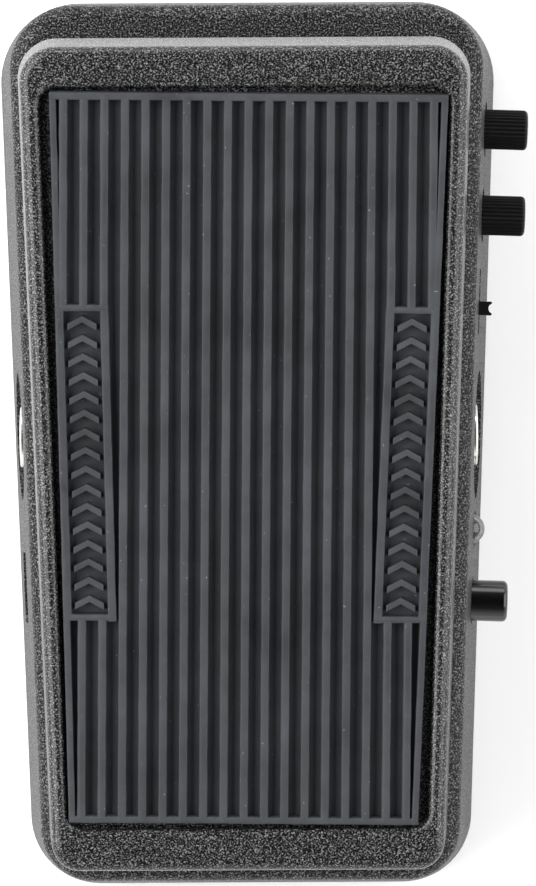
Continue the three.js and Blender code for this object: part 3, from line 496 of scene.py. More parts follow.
def metal(name, color, roughness, stretch=(1, 1, 1)):
    """Plated or brushed metal; stretch draws the grain out into brush lines."""
    material, look = new_look(name, color, roughness, 1.0)
    lines = grain(look, 0.5, detail=4, roughness=0.65, stretch=stretch)
    darker = tuple(c * 0.72 for c in color)
    tone = blend_colors(look, ramp(look, lines, [(0.3, 0.0), (0.7, 1.0)]), darker, color)
    link(look, tone, look.shader.inputs["Base Color"])
    patchy = ramp(look, grain(look, 4, detail=3), [(0.3, roughness), (0.7, min(1, roughness * 1.5))])
    link(look, patchy, look.shader.inputs["Roughness"])
    link(look, bump(look, lines, 0.004), look.shader.inputs["Normal"])
    return material


def circuit_board():
    """Green solder mask with faint copper runs below it."""
    material, look = new_look("circuit_board", (0.02, 0.12, 0.05), 0.35)
    place = node(look, "ShaderNodeTexCoord")
    runs = node(look, "ShaderNodeTexBrick", Scale=220.0)
    link(look, place.outputs["Object"], runs.inputs["Vector"])
    runs.inputs["Color1"].default_value = (0.02, 0.12, 0.05, 1)
    runs.inputs["Color2"].default_value = (0.025, 0.15, 0.06, 1)
    runs.inputs["Mortar"].default_value = (0.05, 0.22, 0.09, 1)
    link(look, runs.outputs["Color"], look.shader.inputs["Base Color"])
    link(look, bump(look, grain(look, 0.4), 0.01), look.shader.inputs["Normal"])
    return material


def clear_lens():
    material, look = new_look("clear_lens", (0.24, 0.24, 0.23), 0.04, Transmission_Weight=1.0, IOR=1.5)
    link(look, bump(look, grain(look, 2), 0.001), look.shader.inputs["Normal"])
    return material


LOOKS = {
    "powder_coat": powder_coat("powder_coat", gloss=0.1),
    "pad_rubber": moulded_rubber("pad_rubber", (0.016, 0.0175, 0.02), (0.034, 0.037, 0.042)),
    "plain_steel": metal("plain_steel", (0.56, 0.56, 0.57), 0.34, stretch=(1, 0.08, 1)),
    "nickel_plate": metal("nickel_plate", (0.78, 0.77, 0.74), 0.18),
    "bronze": metal("bronze", (0.55, 0.38, 0.19), 0.4),
    "white_plastic": plastic("white_plastic", (0.72, 0.7, 0.64), 0.45),
    "black_plastic": plastic("black_plastic", (0.0012, 0.0012, 0.0012), 0.4, Specular_IOR_Level=0.15),
    "gloss_black": plastic("gloss_black", (0.001, 0.001, 0.001), 0.1, height=0.002),
    "circuit_board": circuit_board(),
    "ferrite": plastic("ferrite", (0.05, 0.05, 0.052), 0.6, height=0.02),
    "clear_lens": clear_lens(),
}
TREADLE_COAT = powder_coat("treadle_powder_coat", gloss=0.5)
SLOT_OF = {part["node"]: part["material_slot"] for part in frame["record"]["subparts"]}
BODY_OF = {n: body for body, nodes in frame["record"]["behaviour"]["bodies"].items() for n in nodes}


def dress(piece, slot):
    piece.data.materials.clear()
    piece.data.materials.append(LOOKS[slot])


def stands_for(piece, cad_node, angle=SHARP_ANGLE):
    """Finishes a piece that takes a CAD node's place, on its body and with its material."""
    slot = SLOT_OF[cad_node]
    dress(piece, slot)
    smooth(piece, angle)
    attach(piece, BODY_OF[cad_node])
    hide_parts(cad_node)


def goes_with(piece, body, slot):
    """Finishes an added piece that has no CAD node of its own."""
    dress(piece, slot)
    smooth(piece)
    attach(piece, body)


for cad_name, cad_object in frame["nodes"].items():
    dress(cad_object, SLOT_OF[cad_name])


# ------------------------------------------------------------------ camera, light, floor

CAMERA_HEIGHT = 0.9
FRAME_HEIGHT = 0.1329  # what the picture's long side covers on the floor
CAMERA_AIM = Vector((0.0028, -0.0001, 0))
CAMERA_ROLL = math.radians(-0.3)
SENSOR_WIDTH = 36
TENT_STRENGTH = 1.6
TENT_STOPS = [(0.0, 1.0), (0.3, 0.8), (0.7, 0.15), (1.0, 0.02)]  # height of the ray, and grey
FLOOR_REACH = 1300  # half its width, within what the softboxes light
FLOOR_DEPTH = 2
LIGHT_AIM = Vector((0, 0, 0.03))
SOFTBOXES = (  # name, place and size in metres, power in watts
    ("left_softbox", (-0.8, 0.15, 0.72), (1.3, 0.9), 27),
    ("right_softbox", (0.85, 0.05, 0.7), (1.3, 0.9), 15),
    ("toe_softbox", (0.05, 1.0, 0.5), (1.2, 0.4), 5),
)


def make_camera():
    data = bpy.data.cameras.new("camera")
    data.sensor_width = SENSOR_WIDTH
    data.lens = SENSOR_WIDTH * CAMERA_HEIGHT / FRAME_HEIGHT
    camera = bpy.data.objects.new("camera", data)
    camera.location = HOUSING @ CAMERA_AIM + Vector((0, 0, CAMERA_HEIGHT))
    camera.rotation_euler = (0, 0, CAMERA_ROLL)
    bpy.context.scene.collection.objects.link(camera)
    bpy.context.scene.camera = camera


def soft_light(name, place, size, power):
    data = bpy.data.lights.new(name, "AREA")
    data.shape = "RECTANGLE"
    data.size, data.size_y = size
    data.energy = power
    light = bpy.data.objects.new(name, data)
    light.location = place
    light.rotation_euler = (LIGHT_AIM - Vector(place)).to_track_quat("-Z", "Y").to_euler()
    bpy.context.scene.collection.objects.link(light)


def tent_sky(world):
    """A white light tent: bright walls all round at a low angle, and a dim roof."""
    world.use_nodes = True
    tree = world.node_tree
    sky = Look(tree, tree.nodes["Background"])
    direction = node(sky, "ShaderNodeTexCoord")
    parts = node(sky, "ShaderNodeSeparateXYZ")
    link(sky, direction.outputs["Generated"], parts.inputs["Vector"])
    link(sky, ramp(sky, parts.outputs["Z"], TENT_STOPS), sky.shader.inputs["Color"])
    sky.shader.inputs["Strength"].default_value = TENT_STRENGTH


def make_studio():
    corners = (-FLOOR_REACH, -FLOOR_REACH, -FLOOR_DEPTH), (FLOOR_REACH, FLOOR_REACH, 0)
    floor = new_piece("floor", block(*corners))
    material, look = new_look("pale_floor", (0.9, 0.9, 0.9), 0.7)
    tone = ramp(look, grain(look, 60, detail=2), [(0.3, 0.88), (0.7, 0.92)])
    link(look, tone, look.shader.inputs["Base Color"])
    floor.data.materials.append(material)
    world = bpy.data.worlds.new("studio")
    tent_sky(world)
    bpy.context.scene.world = world
    bpy.context.scene.view_settings.view_transform = "Standard"
    for name, place, size, power in SOFTBOXES:
        soft_light(name, place, size, power)


make_camera()
make_studio()


# ------------------------------------------------------------------ housing and floor side


def plate_screw_places():
    spots = [middle(f"base_plate_screw_{index}") / MM for index in PLATE_SCREWS]
    return [at(spot.x, spot.y, 0) for spot in spots]


def control_holes():
    """Round holes in the control wall, and the slot of the slide switch."""
    holes = [(*KNOB_HOLE, y, KNOB_Z) for y in KNOB_YS]
    holes.append((*LED_HOLE, LED_Y, LOW_CONTROL_Z))
    holes.append((*BUTTON_HOLE, BUTTON_Y, LOW_CONTROL_Z))
    behind_wall = -7
    cuts = []
    for radius, lip, y, z in holes:
        hole = flared(radius, behind_wall, wall_face(z), lip)
        cuts.append(tool(hole, WALL @ at(0, y, z) @ ALONG_X))
    half_length, half_height = SLOT_LENGTH / 2, SLOT_HEIGHT / 2
    low = (-8, SLOT_Y - half_length, SLOT_Z - half_height)
    high = (3, SLOT_Y + half_length, SLOT_Z + half_height)
    cuts.append(tool(rounded_block(low, high, 0.5), WALL))
    return cuts


def socket_holes():
    """The two round jack recesses with their thread holes, and the mouth of the power socket."""
    cuts = []
    outside = 45
    jack = middle("input_jack_bushing") / MM
    for turn in (ALONG_X, ALONG_MINUS_X):
        centre = HOUSING @ at(0, jack.y, jack.z) @ turn
        cuts.append(tool(rod(JACK_RECESS_RADIUS, JACK_RECESS_FLOOR, outside), centre))
        cuts.append(tool(rod(THREAD_HOLE_RADIUS, 20, outside), centre))
    y = middle("dc_socket_body").y / MM
    z = middle("dc_socket_pin").z / MM
    half_y, half_z = DC_HALF
    mouth = rounded_block((-outside, y - half_y, z - half_z), (-27, y + half_y, z + half_z), 1.2)
    cuts.append(tool(mouth, HOUSING))
    return cuts


def deck_holes():
    """The openings in the deck for the rack and the foot switch, and the bore of the pivot tower."""
    below, above = DECK_UNDER_Z - 4, DECK_Z + 4
    rack = middle("gear_rack") / MM
    hole = rounded_block((-7, rack.y - 4.5, below), (7, rack.y + 5.2, above), 1)
    toe_switch = middle("footswitch_nut") / MM
    pivot = PIVOT / MM
    return [
        tool(hole, HOUSING),
        tool(rod(6.3, below, above), HOUSING @ at(0, toe_switch.y, 0)),
        tool(rod(3.3, -13, 13), HOUSING @ at(0, pivot.y, pivot.z) @ ALONG_X),
    ]


def pivot_tower():
    """The block on the deck that carries the pivot: round on top, with a small foot."""
    pivot = PIVOT / MM
    foot, half = 5.6, 5
    side = [(foot, DECK_Z), (foot - 0.5, DECK_Z + 0.4), (half, DECK_Z + 1.2)]
    section = [(-foot, DECK_UNDER_Z), (foot, DECK_UNDER_Z), *side]
    section += arc(half, 0, math.pi, 24, (0, pivot.z))
    section += [(-y, z) for y, z in reversed(side)]
    return tool(pushed(section, -11, 11), HOUSING @ at(0, pivot.y, 0) @ SIDE_ON)


def make_housing():
    shoulder = (DECK_Z - SHOULDER_RADIUS) * BASE_DRAFT
    rim = [(RIM_Z, RIM_Z * BASE_DRAFT + 0.5), (RIM_Z + 0.15, RIM_Z * BASE_DRAFT + 0.15)]
    rim.append((RIM_Z + 0.5, (RIM_Z + 0.5) * BASE_DRAFT))
    levels = rim + rounded_edge(DECK_Z, SHOULDER_RADIUS, shoulder)
    shell = new_piece("housing_casting", stacked(BASE_PLAN, levels), HOUSING)
    inner_top = DECK_UNDER_Z - SHOULDER_RADIUS
    inner_edge = BASE_WALL - wall_face(inner_top)
    levels = [
        (RIM_Z - 1, BASE_WALL - wall_face(RIM_Z - 1)),
        (inner_top, inner_edge),
        (inner_top + 2, inner_edge + 0.5),
        (DECK_UNDER_Z, BASE_WALL + shoulder + 1.2),
    ]
    combine(shell, [tool(stacked(BASE_PLAN, levels), HOUSING)], "DIFFERENCE")
    boss = (3.6, 3.7, DECK_UNDER_Z + 1, SMALL_ROUND)
    added = [tool(rod(*boss), place) for place in plate_screw_places()]
    jack = middle("input_jack_bushing") / MM
    for turn in (ALONG_X, ALONG_MINUS_X):
        cup = rod(JACK_RECESS_RADIUS + 1.2, JACK_RECESS_FLOOR - 2, 32.25)
        added.append(tool(cup, HOUSING @ at(0, jack.y, jack.z) @ turn))
    added.append(pivot_tower())
    combine(shell, added, "UNION")
    cuts = control_holes() + socket_holes() + deck_holes()
    cuts += [tool(rod(1.5, 0, 12.3, 24), place) for place in plate_screw_places()]
    split_across(shell, HOUSING, (-48, -28.5, -17, -9.6, 12, 27.5, 39.8, 52))
    combine(shell, cuts, "DIFFERENCE")
    stands_for(shell, "base_housing")


def make_base_plate():
    low, high = (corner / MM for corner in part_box("base_plate"))
    inset = BASE_WALL + high.z * BASE_DRAFT + 0.3
    levels = [(low.z, inset + 0.25), (low.z + 0.12, inset + 0.07), (low.z + 0.3, inset)]
    levels += [(high.z - 0.2, inset), (high.z, inset + 0.15)]
    plate = new_piece("base_plate_sheet", stacked(BASE_PLAN, levels), HOUSING)
    holes = [tool(rod(1.5, 0, 6, 24), place) for place in plate_screw_places()]
    combine(plate, holes, "DIFFERENCE")
    stands_for(plate, "base_plate")


def make_plate_screws():
    """Countersunk cross-head screws with a rolled thread."""
    under_head, core, crest, pitch = 1.9, 1.02, 1.2, 0.5
    for index, place in zip(PLATE_SCREWS, plate_screw_places()):
        cad = f"base_plate_screw_{index}"
        low, high = (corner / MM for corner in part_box(cad))
        profile = [(0, low.z), (1.5, low.z), (2.45, low.z + 0.35), (2.6, under_head - 0.2)]
        profile += [(2.55, under_head), (crest, under_head)]
        ridge = under_head
        while ridge < high.z - 1:
            profile += [(crest, ridge + 0.1), (core, ridge + 0.3), (crest, ridge + pitch)]
            ridge += pitch
        profile += [(0.5, high.z - 0.05), (0, high.z)]
        screw = new_piece(f"plate_screw_{index}", turned(profile, SMALL_ROUND), place)
        turn = place @ Matrix.Rotation(0.4 + index, 4, "Z")
        for half_x, half_y in ((1.4, 0.28), (0.28, 1.4)):
            arm = block((-half_x, -half_y, 0), (half_x, half_y, 1.5))
            combine(screw, [tool(arm, turn)], "DIFFERENCE")
        stands_for(screw, cad)


def make_feet():
    for index in PLATE_SCREWS:
        cad = f"rubber_foot_{index}"
        low, high = (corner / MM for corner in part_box(cad))
        radius = (high.x - low.x) / 2
        dished = [(0, 0.25), (radius - 3, 0.2), (radius - 2, 0), (radius, 0)]
        dished += [(radius, high.z), (0, high.z)]
        place = at((low.x + high.x) / 2, (low.y + high.y) / 2, 0)
        stands_for(new_piece(f"foot_{index}", turned(filleted(dished, 0.5)), place), cad)


make_housing()
make_base_plate()
make_plate_screws()
make_feet()

# ------------------------------------------------------------------ treadle, tread pad, pivot


def flare(z):
    """How far the treadle's drafted wall stands in from its outline at a height."""
    return (z - TREADLE_TOP) * TREADLE_DRAFT


def pad_recess():
    """The bed of the tread pad, with an upper edge that rounds over."""
    low = TREADLE_TOP - RECESS_DEPTH
    lip_width, lip_depth = RECESS_LIP
    levels = [(low, 0.4 - RECESS_GROWTH), (low + 0.4, -RECESS_GROWTH)]
    for step in range(LIP_STEPS + 1):
        turn = math.pi / 2 * step / LIP_STEPS
        depth = lip_depth * (1 - math.sin(turn))
        levels.append((TREADLE_TOP - depth, -RECESS_GROWTH - lip_width * (1 - math.cos(turn))))
    levels.append((TREADLE_TOP + 3, levels[-1][1]))
    plan = PAD_PLAN._replace(toe_radius=RECESS_CORNER, heel_radius=RECESS_CORNER)
    return tool(stacked(plan, levels), ROCKER)


def treadle_ribs():
    """The two pivot lugs and the ribs across the treadle's underside."""
    near, far = LUG_REACH
    root = TREADLE_FLOOR + 0.5
    web = [(6.2, root), (5.5, TREADLE_FLOOR - 1.2), *arc(LUG_RADIUS, 0, -math.pi, 20)]
    web += [(-5.5, TREADLE_FLOOR - 1.2), (-6.2, root)]
    ribs = [tool(pushed(web, *reach), ROCKER @ SIDE_ON) for reach in ((near, far), (-far, -near))]
    for y in CROSS_RIB_YS:
        ribs.append(tool(block((-26.5, y - 0.8, 5.4), (26.5, y + 0.8, root)), ROCKER))
    return ribs


def treadle_holes():
    """The bore for the pivot shaft, and the screw holes."""
    holes = [tool(rod(2.3, -20, 20, SMALL_ROUND), ROCKER @ ALONG_X)]
    for x in (-SET_SCREW_X, SET_SCREW_X):
        holes.append(tool(rod(1.5, -8, 0, 24), ROCKER @ at(x, 0, 0)))
    screw = (ROCKER.inverted() @ middle("rack_hanger_screw")) / MM
    holes.append(tool(rod(1.5, 6, TREADLE_FLOOR + 1.7, 24), ROCKER @ at(0, screw.y, 0)))
    return holes


def make_treadle():
    skirt = TREADLE_TOP - TREADLE_SKIRT
    levels = [(skirt, flare(skirt) + 0.45), (skirt + 0.12, flare(skirt) + 0.13)]
    levels.append((skirt + 0.45, flare(skirt + 0.45)))
    levels += rounded_edge(TREADLE_TOP, TREADLE_EDGE_RADIUS, 0)
    shell = new_piece("treadle_casting", stacked(TREADLE_PLAN, levels), ROCKER)
    levels = [
        (skirt - 1, TREADLE_WALL + flare(skirt)),
        (TREADLE_FLOOR - 1, TREADLE_WALL),
        (TREADLE_FLOOR - 0.3, TREADLE_WALL + 0.3),
        (TREADLE_FLOOR, TREADLE_WALL + 1),
    ]
    combine(shell, [tool(stacked(TREADLE_PLAN, levels), ROCKER), pad_recess()], "DIFFERENCE")
    combine(shell, treadle_ribs(), "UNION")
    combine(shell, treadle_holes(), "DIFFERENCE")
    stands_for(shell, "treadle")
    shell.data.materials[0] = TREADLE_COAT


def side_edge(side, y, inset=0.0):
    """The pad's side edge at y, drawn in by inset."""
    return side * (PAD_PLAN.half_width + PAD_PLAN.taper * y - inset)


def wavy_bar(start, end, width, seed, steps=56):
    """A moulded rubber rib between two points, slightly uneven, with a rounded crown."""
    low = PAD_BASE - 0.4
    half = width / 2
    flank = [(half - 0.24, PAD_TOP), (half - 0.08, PAD_TOP - 0.07), (half, PAD_TOP - 0.22)]
    flank.append((half + 0.07, low))
    section = [(-across, height) for across, height in reversed(flank)] + flank
    start, end = Vector(start), Vector(end)
    run = end - start
    side = Vector((run.y, -run.x)).normalized()
    rings = []
    for i in range(steps + 1):
        here = start + run * i / steps
        ring = []
        for across, height in section:
            spot = Vector((here.x * 0.35, here.y * 0.35, seed + (across > 0) * 5.3))
            shift = 0.055 * noise.noise(spot) + 0.02 * noise.noise(spot * 4.1)
            lift = 0.03 * noise.noise(spot * 0.6 + Vector((0, 0, 3))) if height > low else 0
            point = here + side * (across + (shift if height > low else 0))
            ring.append((point.x, point.y, height + min(lift, 0)))
        rings.append(ring)
    return loft(rings)


def chevron(x, y):
    """A raised chevron that points at the toe: one outline of even stroke, with a softened rim."""
    low = y - (CHEVRON_RISE + CHEVRON_STROKE) / 2
    lower = [(x - CHEVRON_HALF, low), (x, low + CHEVRON_RISE), (x + CHEVRON_HALF, low)]
    points = lower + [(px, py + CHEVRON_STROKE) for px, py in reversed(lower)]
    top = PAD_TOP - 0.1
    bm = bmesh.new()
    rings = [[bm.verts.new((px, py, z)) for px, py in points] for z in (PAD_BASE - 0.3, top)]
    for ring in rings:
        bm.faces.new((ring[0], ring[1], ring[4], ring[5]))
        bm.faces.new((ring[1], ring[2], ring[3], ring[4]))
    bottom, crown = rings
    for i in range(len(points)):
        j = (i + 1) % len(points)
        bm.faces.new((bottom[i], bottom[j], crown[j], crown[i]))
    bmesh.ops.recalc_face_normals(bm, faces=bm.faces)
    level = [e for e in bm.edges if all(v in crown for v in e.verts)]
    rim = [e for e in level if len({round(f.normal.z, 2) for f in e.link_faces}) > 1]
    bmesh.ops.bevel(bm, geom=rim, offset=0.12, segments=2, profile=0.5, affect="EDGES")
    return bm


def panel_edges(side, y):
    """The outer and the inner edge of a grip panel at y."""
    outer = side_edge(side, y)
    return outer, outer - side * PANEL_WIDTH


def pad_ribs():
    """The ribs, each cut short where a grip panel or the tapered border takes its place."""
    bars = []
    shortest = 2
    overlap = 0.5  # how far a rib runs into the border
    panel_overlap = 0.2
    fade_out = 12  # how far a rib goes on beside the border before it ends
    heel, toe = PAD_PLAN.heel + overlap, PAD_PLAN.toe - overlap
    panel_heel, panel_toe = PANEL_Y[0] + panel_overlap, PANEL_Y[1] - panel_overlap
    for index in range(RIB_COUNT):
        x = (index - (RIB_COUNT - 1) / 2) * RIB_PITCH
        side = 1 if x > 0 else -1
        crossing = (abs(x) + 0.35 - PAD_PLAN.half_width + PAD_BORDER) / PAD_PLAN.taper
        low = max(heel, crossing - fade_out)
        reaches = [(low, toe)]
        panel_inner = abs(panel_edges(side, 0)[1])
        if abs(x) > panel_inner - overlap:
            reaches = [(low, panel_heel), (panel_toe, toe)]
        for start, end in reaches:
            if end - start > shortest:
                bars.append(wavy_bar((x, start), (x, end), RIB_WIDTH, index * 7.7))
    return bars


def pad_frame():
    """The border, and the frames of the two grip panels."""
    inset = PAD_BORDER / 2
    toe, heel = PAD_PLAN.toe, PAD_PLAN.heel
    bars = []
    for side in (-1, 1):
        start = (side_edge(side, heel, inset), heel + 0.1)
        end = (side_edge(side, toe, inset), toe - 0.1)
        bars.append(wavy_bar(start, end, PAD_BORDER, 90 + side))
        inner = [panel_edges(side, y)[1] + side * PANEL_BAR / 2 for y in PANEL_Y]
        bars.append(wavy_bar((inner[0], PANEL_Y[0]), (inner[1], PANEL_Y[1]), PANEL_BAR, 70 + side))
        wide = PANEL_BAR / 2
        first = (side_edge(side, PANEL_Y[0], wide), PANEL_Y[0] + wide)
        last = (side_edge(side, PANEL_Y[1], wide), PANEL_Y[1] - wide)
        bars.append(wavy_bar(first, last, PANEL_BAR, 80 + side))
        for y, step in ((PANEL_Y[0], 0.48), (PANEL_Y[1], -0.48)):
            outer, inner_edge = panel_edges(side, y)
            ends = sorted((outer - side * 0.05, inner_edge + side * 0.05))
            bars.append(wavy_bar((ends[0], y + step), (ends[1], y + step), 0.95, 60 + y, 10))
    for y, width in ((toe - 0.56, 1.1), (heel + 0.5, 1.0)):
        reach = PAD_PLAN.half_width + PAD_PLAN.taper * y - 0.05
        bars.append(wavy_bar((-reach, y), (reach, y), width, 50 + y, 40))
    return bars


def grip_chevrons(side):
    """The row of chevrons along the middle of a grip panel."""
    margin = 1.3
    span = PANEL_Y[1] - PANEL_Y[0] - 2 * margin
    row = []
    for index in range(CHEVRON_COUNT):
        y = PANEL_Y[0] + margin + span * (index + 0.5) / CHEVRON_COUNT
        outer, inner = panel_edges(side, y)
        row.append(chevron((outer + inner) / 2, y))
    return row


def make_tread_pad():
    sole = [(0, 0.1), (0.1, 0), (PAD_BASE, 0)]
    pad = new_piece("tread_pad_moulding", stacked(PAD_PLAN, sole), PAD)
    raised = pad_ribs() + pad_frame() + grip_chevrons(-1) + grip_chevrons(1)
    combine(pad, [tool(bm, PAD) for bm in raised], "UNION")
    stands_for(pad, "tread_pad")


def make_pivot():
    """The steel shaft, its two flanged bushings and the screws that hold it in the treadle."""
    half, radius = 18.5, 2
    shaft = filleted([(0, -half), (radius, -half), (radius, half), (0, half)], 0.4)
    place = ROCKER @ ALONG_X
    stands_for(new_piece("pivot_pin", turned(shaft, SMALL_ROUND), place), "pivot_shaft")
    bore, outside, flange = 2.08, 3, 4.5
    start, shoulder, end = 4, 11.3, 12.3
    for word, turn in (("right", ALONG_X), ("left", ALONG_MINUS_X)):
        section = [(bore, start), (outside, start), (outside, shoulder), (flange, shoulder)]
        section += [(flange, end), (bore, end), (bore, start)]
        body = turned(filleted(section, 0.15)[:-1])
        place = HOUSING @ at(0, PIVOT.y / MM, PIVOT.z / MM) @ turn
        stands_for(new_piece(f"pivot_bush_{word}", body, place), f"pivot_bushing_{word}")
    grub = [(0, -4.1), (0.6, -4.1), (0.6, -4.9), (1, -4.9), (1.2, -4.7)]
    grub += [(1.2, -2.5), (1, -2.3), (0, -2.3)]
    for word, x in (("left", -SET_SCREW_X), ("right", SET_SCREW_X)):
        piece = new_piece(f"grub_screw_{word}", turned(grub, 24), ROCKER @ at(x, 0, 0))
        stands_for(piece, f"pivot_set_screw_{word}")


make_treadle()
make_tread_pad()
make_pivot()

# ------------------------------------------------------------------ rack hanger, nuts


def make_hanger():
    """The steel clevis, bent from one strip, with its pin and screw."""
    pin = (ROCKER.inverted() @ middle("rack_cross_pin")) / MM
    screw_y = ((ROCKER.inverted() @ middle("rack_hanger_screw")) / MM).y
    pin_place = ROCKER @ at(0, pin.y, pin.z) @ ALONG_X
    screw_place = ROCKER @ at(0, screw_y, 0)
    half, gauge = 5.2, 1.2
    top = TREADLE_FLOOR - 0.3
    plate = rounded_block((-half, screw_y - 4, top - 1.3), (half, pin.y + 3.5, top), 0.4)
    clevis = new_piece("rack_clevis", plate, ROCKER)
    turns = [-math.pi / 16 * t for t in range(17)]
    ear = [(pin.y + 2.9 * math.cos(turn), pin.z + 2.5 * math.sin(turn)) for turn in turns]
    ear += [(pin.y - 3.5, top - 0.4), (pin.y + 3.5, top - 0.4)]
    reaches = ((half - gauge, half), (-half, gauge - half))
    combine(clevis, [tool(pushed(ear, *reach), ROCKER @ SIDE_ON) for reach in reaches], "UNION")
    holes = [tool(rod(1.8, -8, 8, 32), pin_place), tool(rod(1.5, 4, 9, 32), screw_place)]
    combine(clevis, holes, "DIFFERENCE")
    stands_for(clevis, "rack_hanger")
    rounded = filleted([(0, -6.3), (1.5, -6.3), (1.5, 6.3), (0, 6.3)], 0.35)
    stands_for(new_piece("rack_pin", turned(rounded, SMALL_ROUND), pin_place), "rack_cross_pin")
    head = top - 1.6
    shape = [(0, head - 1.1), (1.3, head - 1.3), (2.2, head - 0.8), (2.4, head - 0.2), (2.3, head)]
    shape += [(1.2, head), (1.2, TREADLE_FLOOR + 1.3), (0, TREADLE_FLOOR + 1.4)]
    screw = new_piece("rack_screw", turned(shape, SMALL_ROUND), screw_place)
    slot = block((-3, -0.3, head - 2), (3, 0.3, head - 0.8))
    combine(screw, [tool(slot, screw_place)], "DIFFERENCE")
    stands_for(screw, "rack_hanger_screw")


def make_nut(name, cad, across_flats, bore, start, end, matrix):
    """A hexagon nut with chamfered corners and a chamfered bore."""
    nut = new_piece(name, pushed(hexagon(across_flats), start, end), matrix)
    corner = across_flats / math.sqrt(3) + 0.02
    face = across_flats / 2 * 0.98
    chamfer = min(0.35, (end - start) / 4)
    disc = [(0, start), (face, start), (corner, start + chamfer)]
    disc += [(corner, end - chamfer), (face, end), (0, end)]
    combine(nut, [tool(turned(disc), matrix)], "INTERSECT")
    mouth = bore + 0.4
    inside = [(0, start - 1), (mouth, start - 1), (mouth, start), (bore, start + 0.35)]
    inside += [(bore, end - 0.35), (mouth, end), (mouth, end + 1), (0, end + 1)]
    combine(nut, [tool(turned(inside), matrix)], "DIFFERENCE")
    stands_for(nut, cad)


def make_sensor_nut():
    low, high = (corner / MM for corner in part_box("sensor_pot_nut"))
    place = at(low.x, (low.y + high.y) / 2, (low.z + high.z) / 2) @ ALONG_X
    make_nut("sensor_nut", "sensor_pot_nut", 9.5, 3.8, 0, high.x - low.x, place)


# ------------------------------------------------------------------ foot switch and bumpers


def threaded(inner, outer, start, end, pitch=0.75, depth=0.22):
    """A threaded sleeve as a closed ring, with chamfered ends."""
    profile = [(inner, start), (outer - depth, start)]
    height = start + pitch / 2
    while height + pitch < end - 0.2:
        profile += [(outer, height), (outer - depth, height + pitch / 2)]
        height += pitch
    profile += [(outer - depth, end - 0.25), (outer - depth - 0.25, end)]
    profile += [(inner + 0.2, end), (inner, end - 0.2)]
    return turned(profile)


def make_footswitch():
    low, high = (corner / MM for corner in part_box("footswitch_body"))
    centre = (low + high) / 2
    place = at(centre.x, centre.y, 0)
    can_top = DECK_UNDER_Z - 2
    body = new_piece("toe_switch_body", rounded_block(low, (high.x, high.y, can_top), 0.5))
    neck = threaded(3.2, 6, can_top - 0.5, high.z)
    combine(body, [tool(neck, place)], "UNION")
    combine(body, [tool(rod(4.12, 30.5, 45), place)], "DIFFERENCE")
    stands_for(body, "footswitch_body")
    bottom, top = (corner.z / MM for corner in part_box("footswitch_washer"))
    bore, outside = 6.3, 8.5
    edge = [(bore, bottom), (outside, bottom), (outside, top), (bore, top), (bore, bottom)]
    rim = filleted(edge, 0.2)[:-1]
    stands_for(new_piece("toe_switch_washer", turned(rim), place), "footswitch_washer")
    bottom, top = (corner.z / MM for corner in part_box("footswitch_nut"))
    make_nut("toe_switch_nut", "footswitch_nut", 14, bore, bottom, top, place)
    bottom, top = (corner.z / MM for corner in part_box("footswitch_plunger"))
    radius, rise = 4, 1.5
    dome = [(0, bottom), (radius, bottom), (radius, top - rise)]
    for step in range(1, 12):
        turn = step * math.pi / 24
        dome.append((radius * math.cos(turn), top - rise + rise * math.sin(turn)))
    dome.append((0, top))
    stands_for(new_piece("toe_switch_plunger", turned(dome), place), "footswitch_plunger")


def make_bumpers():
    """Tapered rubber bumpers with a dished top."""
    for cad in ("heel_bumper_left", "heel_bumper_right", "toe_bumper_left", "toe_bumper_right"):
        low, high = (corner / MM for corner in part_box(cad))
        centre = (low + high) / 2
        radius = (high.x - low.x) / 2
        dish = high.z - 0.8
        shape = [(0, low.z), (radius, low.z), (radius, low.z + 0.8), (radius - 0.5, low.z + 1.4)]
        shape += [(radius - 1.3, high.z), (radius - 3.2, high.z), (radius - 3.6, dish), (0, dish)]
        place = at(centre.x, centre.y, 0)
        stands_for(new_piece(f"{cad}_moulding", turned(filleted(shape, 0.5)), place), cad)


# ------------------------------------------------------------------ side controls


def knurled(low, high):
    """A fluted knob along Z: rings of height, inset and share of the flutes' depth."""
    sides = KNOB_FLUTES * len(FLUTE_WAVE)
    rings = []
    for height, inset, depth in (
        (low, 0.25, 0),
        (low + 0.25, 0, 1),
        (high - 0.55, 0, 1),
        (high - 0.4, 0.04, 0.8),
        (high - 0.22, 0.14, 0.4),
        (high - 0.08, 0.3, 0.1),
        (high, 0.55, 0),
        (high, 1.1, 0),
        (high - 0.12, 1.25, 0),
    ):
        ring = []
        for i in range(sides):
            turn = 2 * math.pi * i / sides
            reach = KNOB_RADIUS - inset + FLUTE_WAVE[i % len(FLUTE_WAVE)] * depth
            ring.append((reach * math.cos(turn), reach * math.sin(turn), height))
        rings.append(ring)
    return loft(rings)


def make_knobs():
    face = wall_face(KNOB_Z)
    low, high = face - 1.2, face + KNOB_LENGTH
    for index, y in enumerate(KNOB_YS, 1):
        place = WALL @ at(0, y, KNOB_Z) @ ALONG_X
        knob = new_piece(f"knurled_knob_{index}", knurled(low, high), place)
        combine(knob, [tool(rod(1.8, low - 2, high - 1.8, 32), place)], "DIFFERENCE")
        stands_for(knob, f"control_knob_{index}", angle=math.radians(50))


def make_slider():
    """The slide switch's tab, with a scoop in its end."""
    face = wall_face(SLOT_Z)
    back, tip = face - 6.1, face + 1.8
    low = (back, SLIDER_Y - 1, SLOT_Z - SLIDER_HALF)
    high = (tip, SLIDER_Y + 1, SLOT_Z + SLIDER_HALF)
    piece = new_piece("range_slider_tab", rounded_block(low, high, 0.14), WALL)
    scoop = tool(rod(0.75, -3, 3, 32), WALL @ at(tip + 0.25, SLIDER_Y, SLOT_Z))
    combine(piece, [scoop], "DIFFERENCE")
    stands_for(piece, "range_switch_slider")


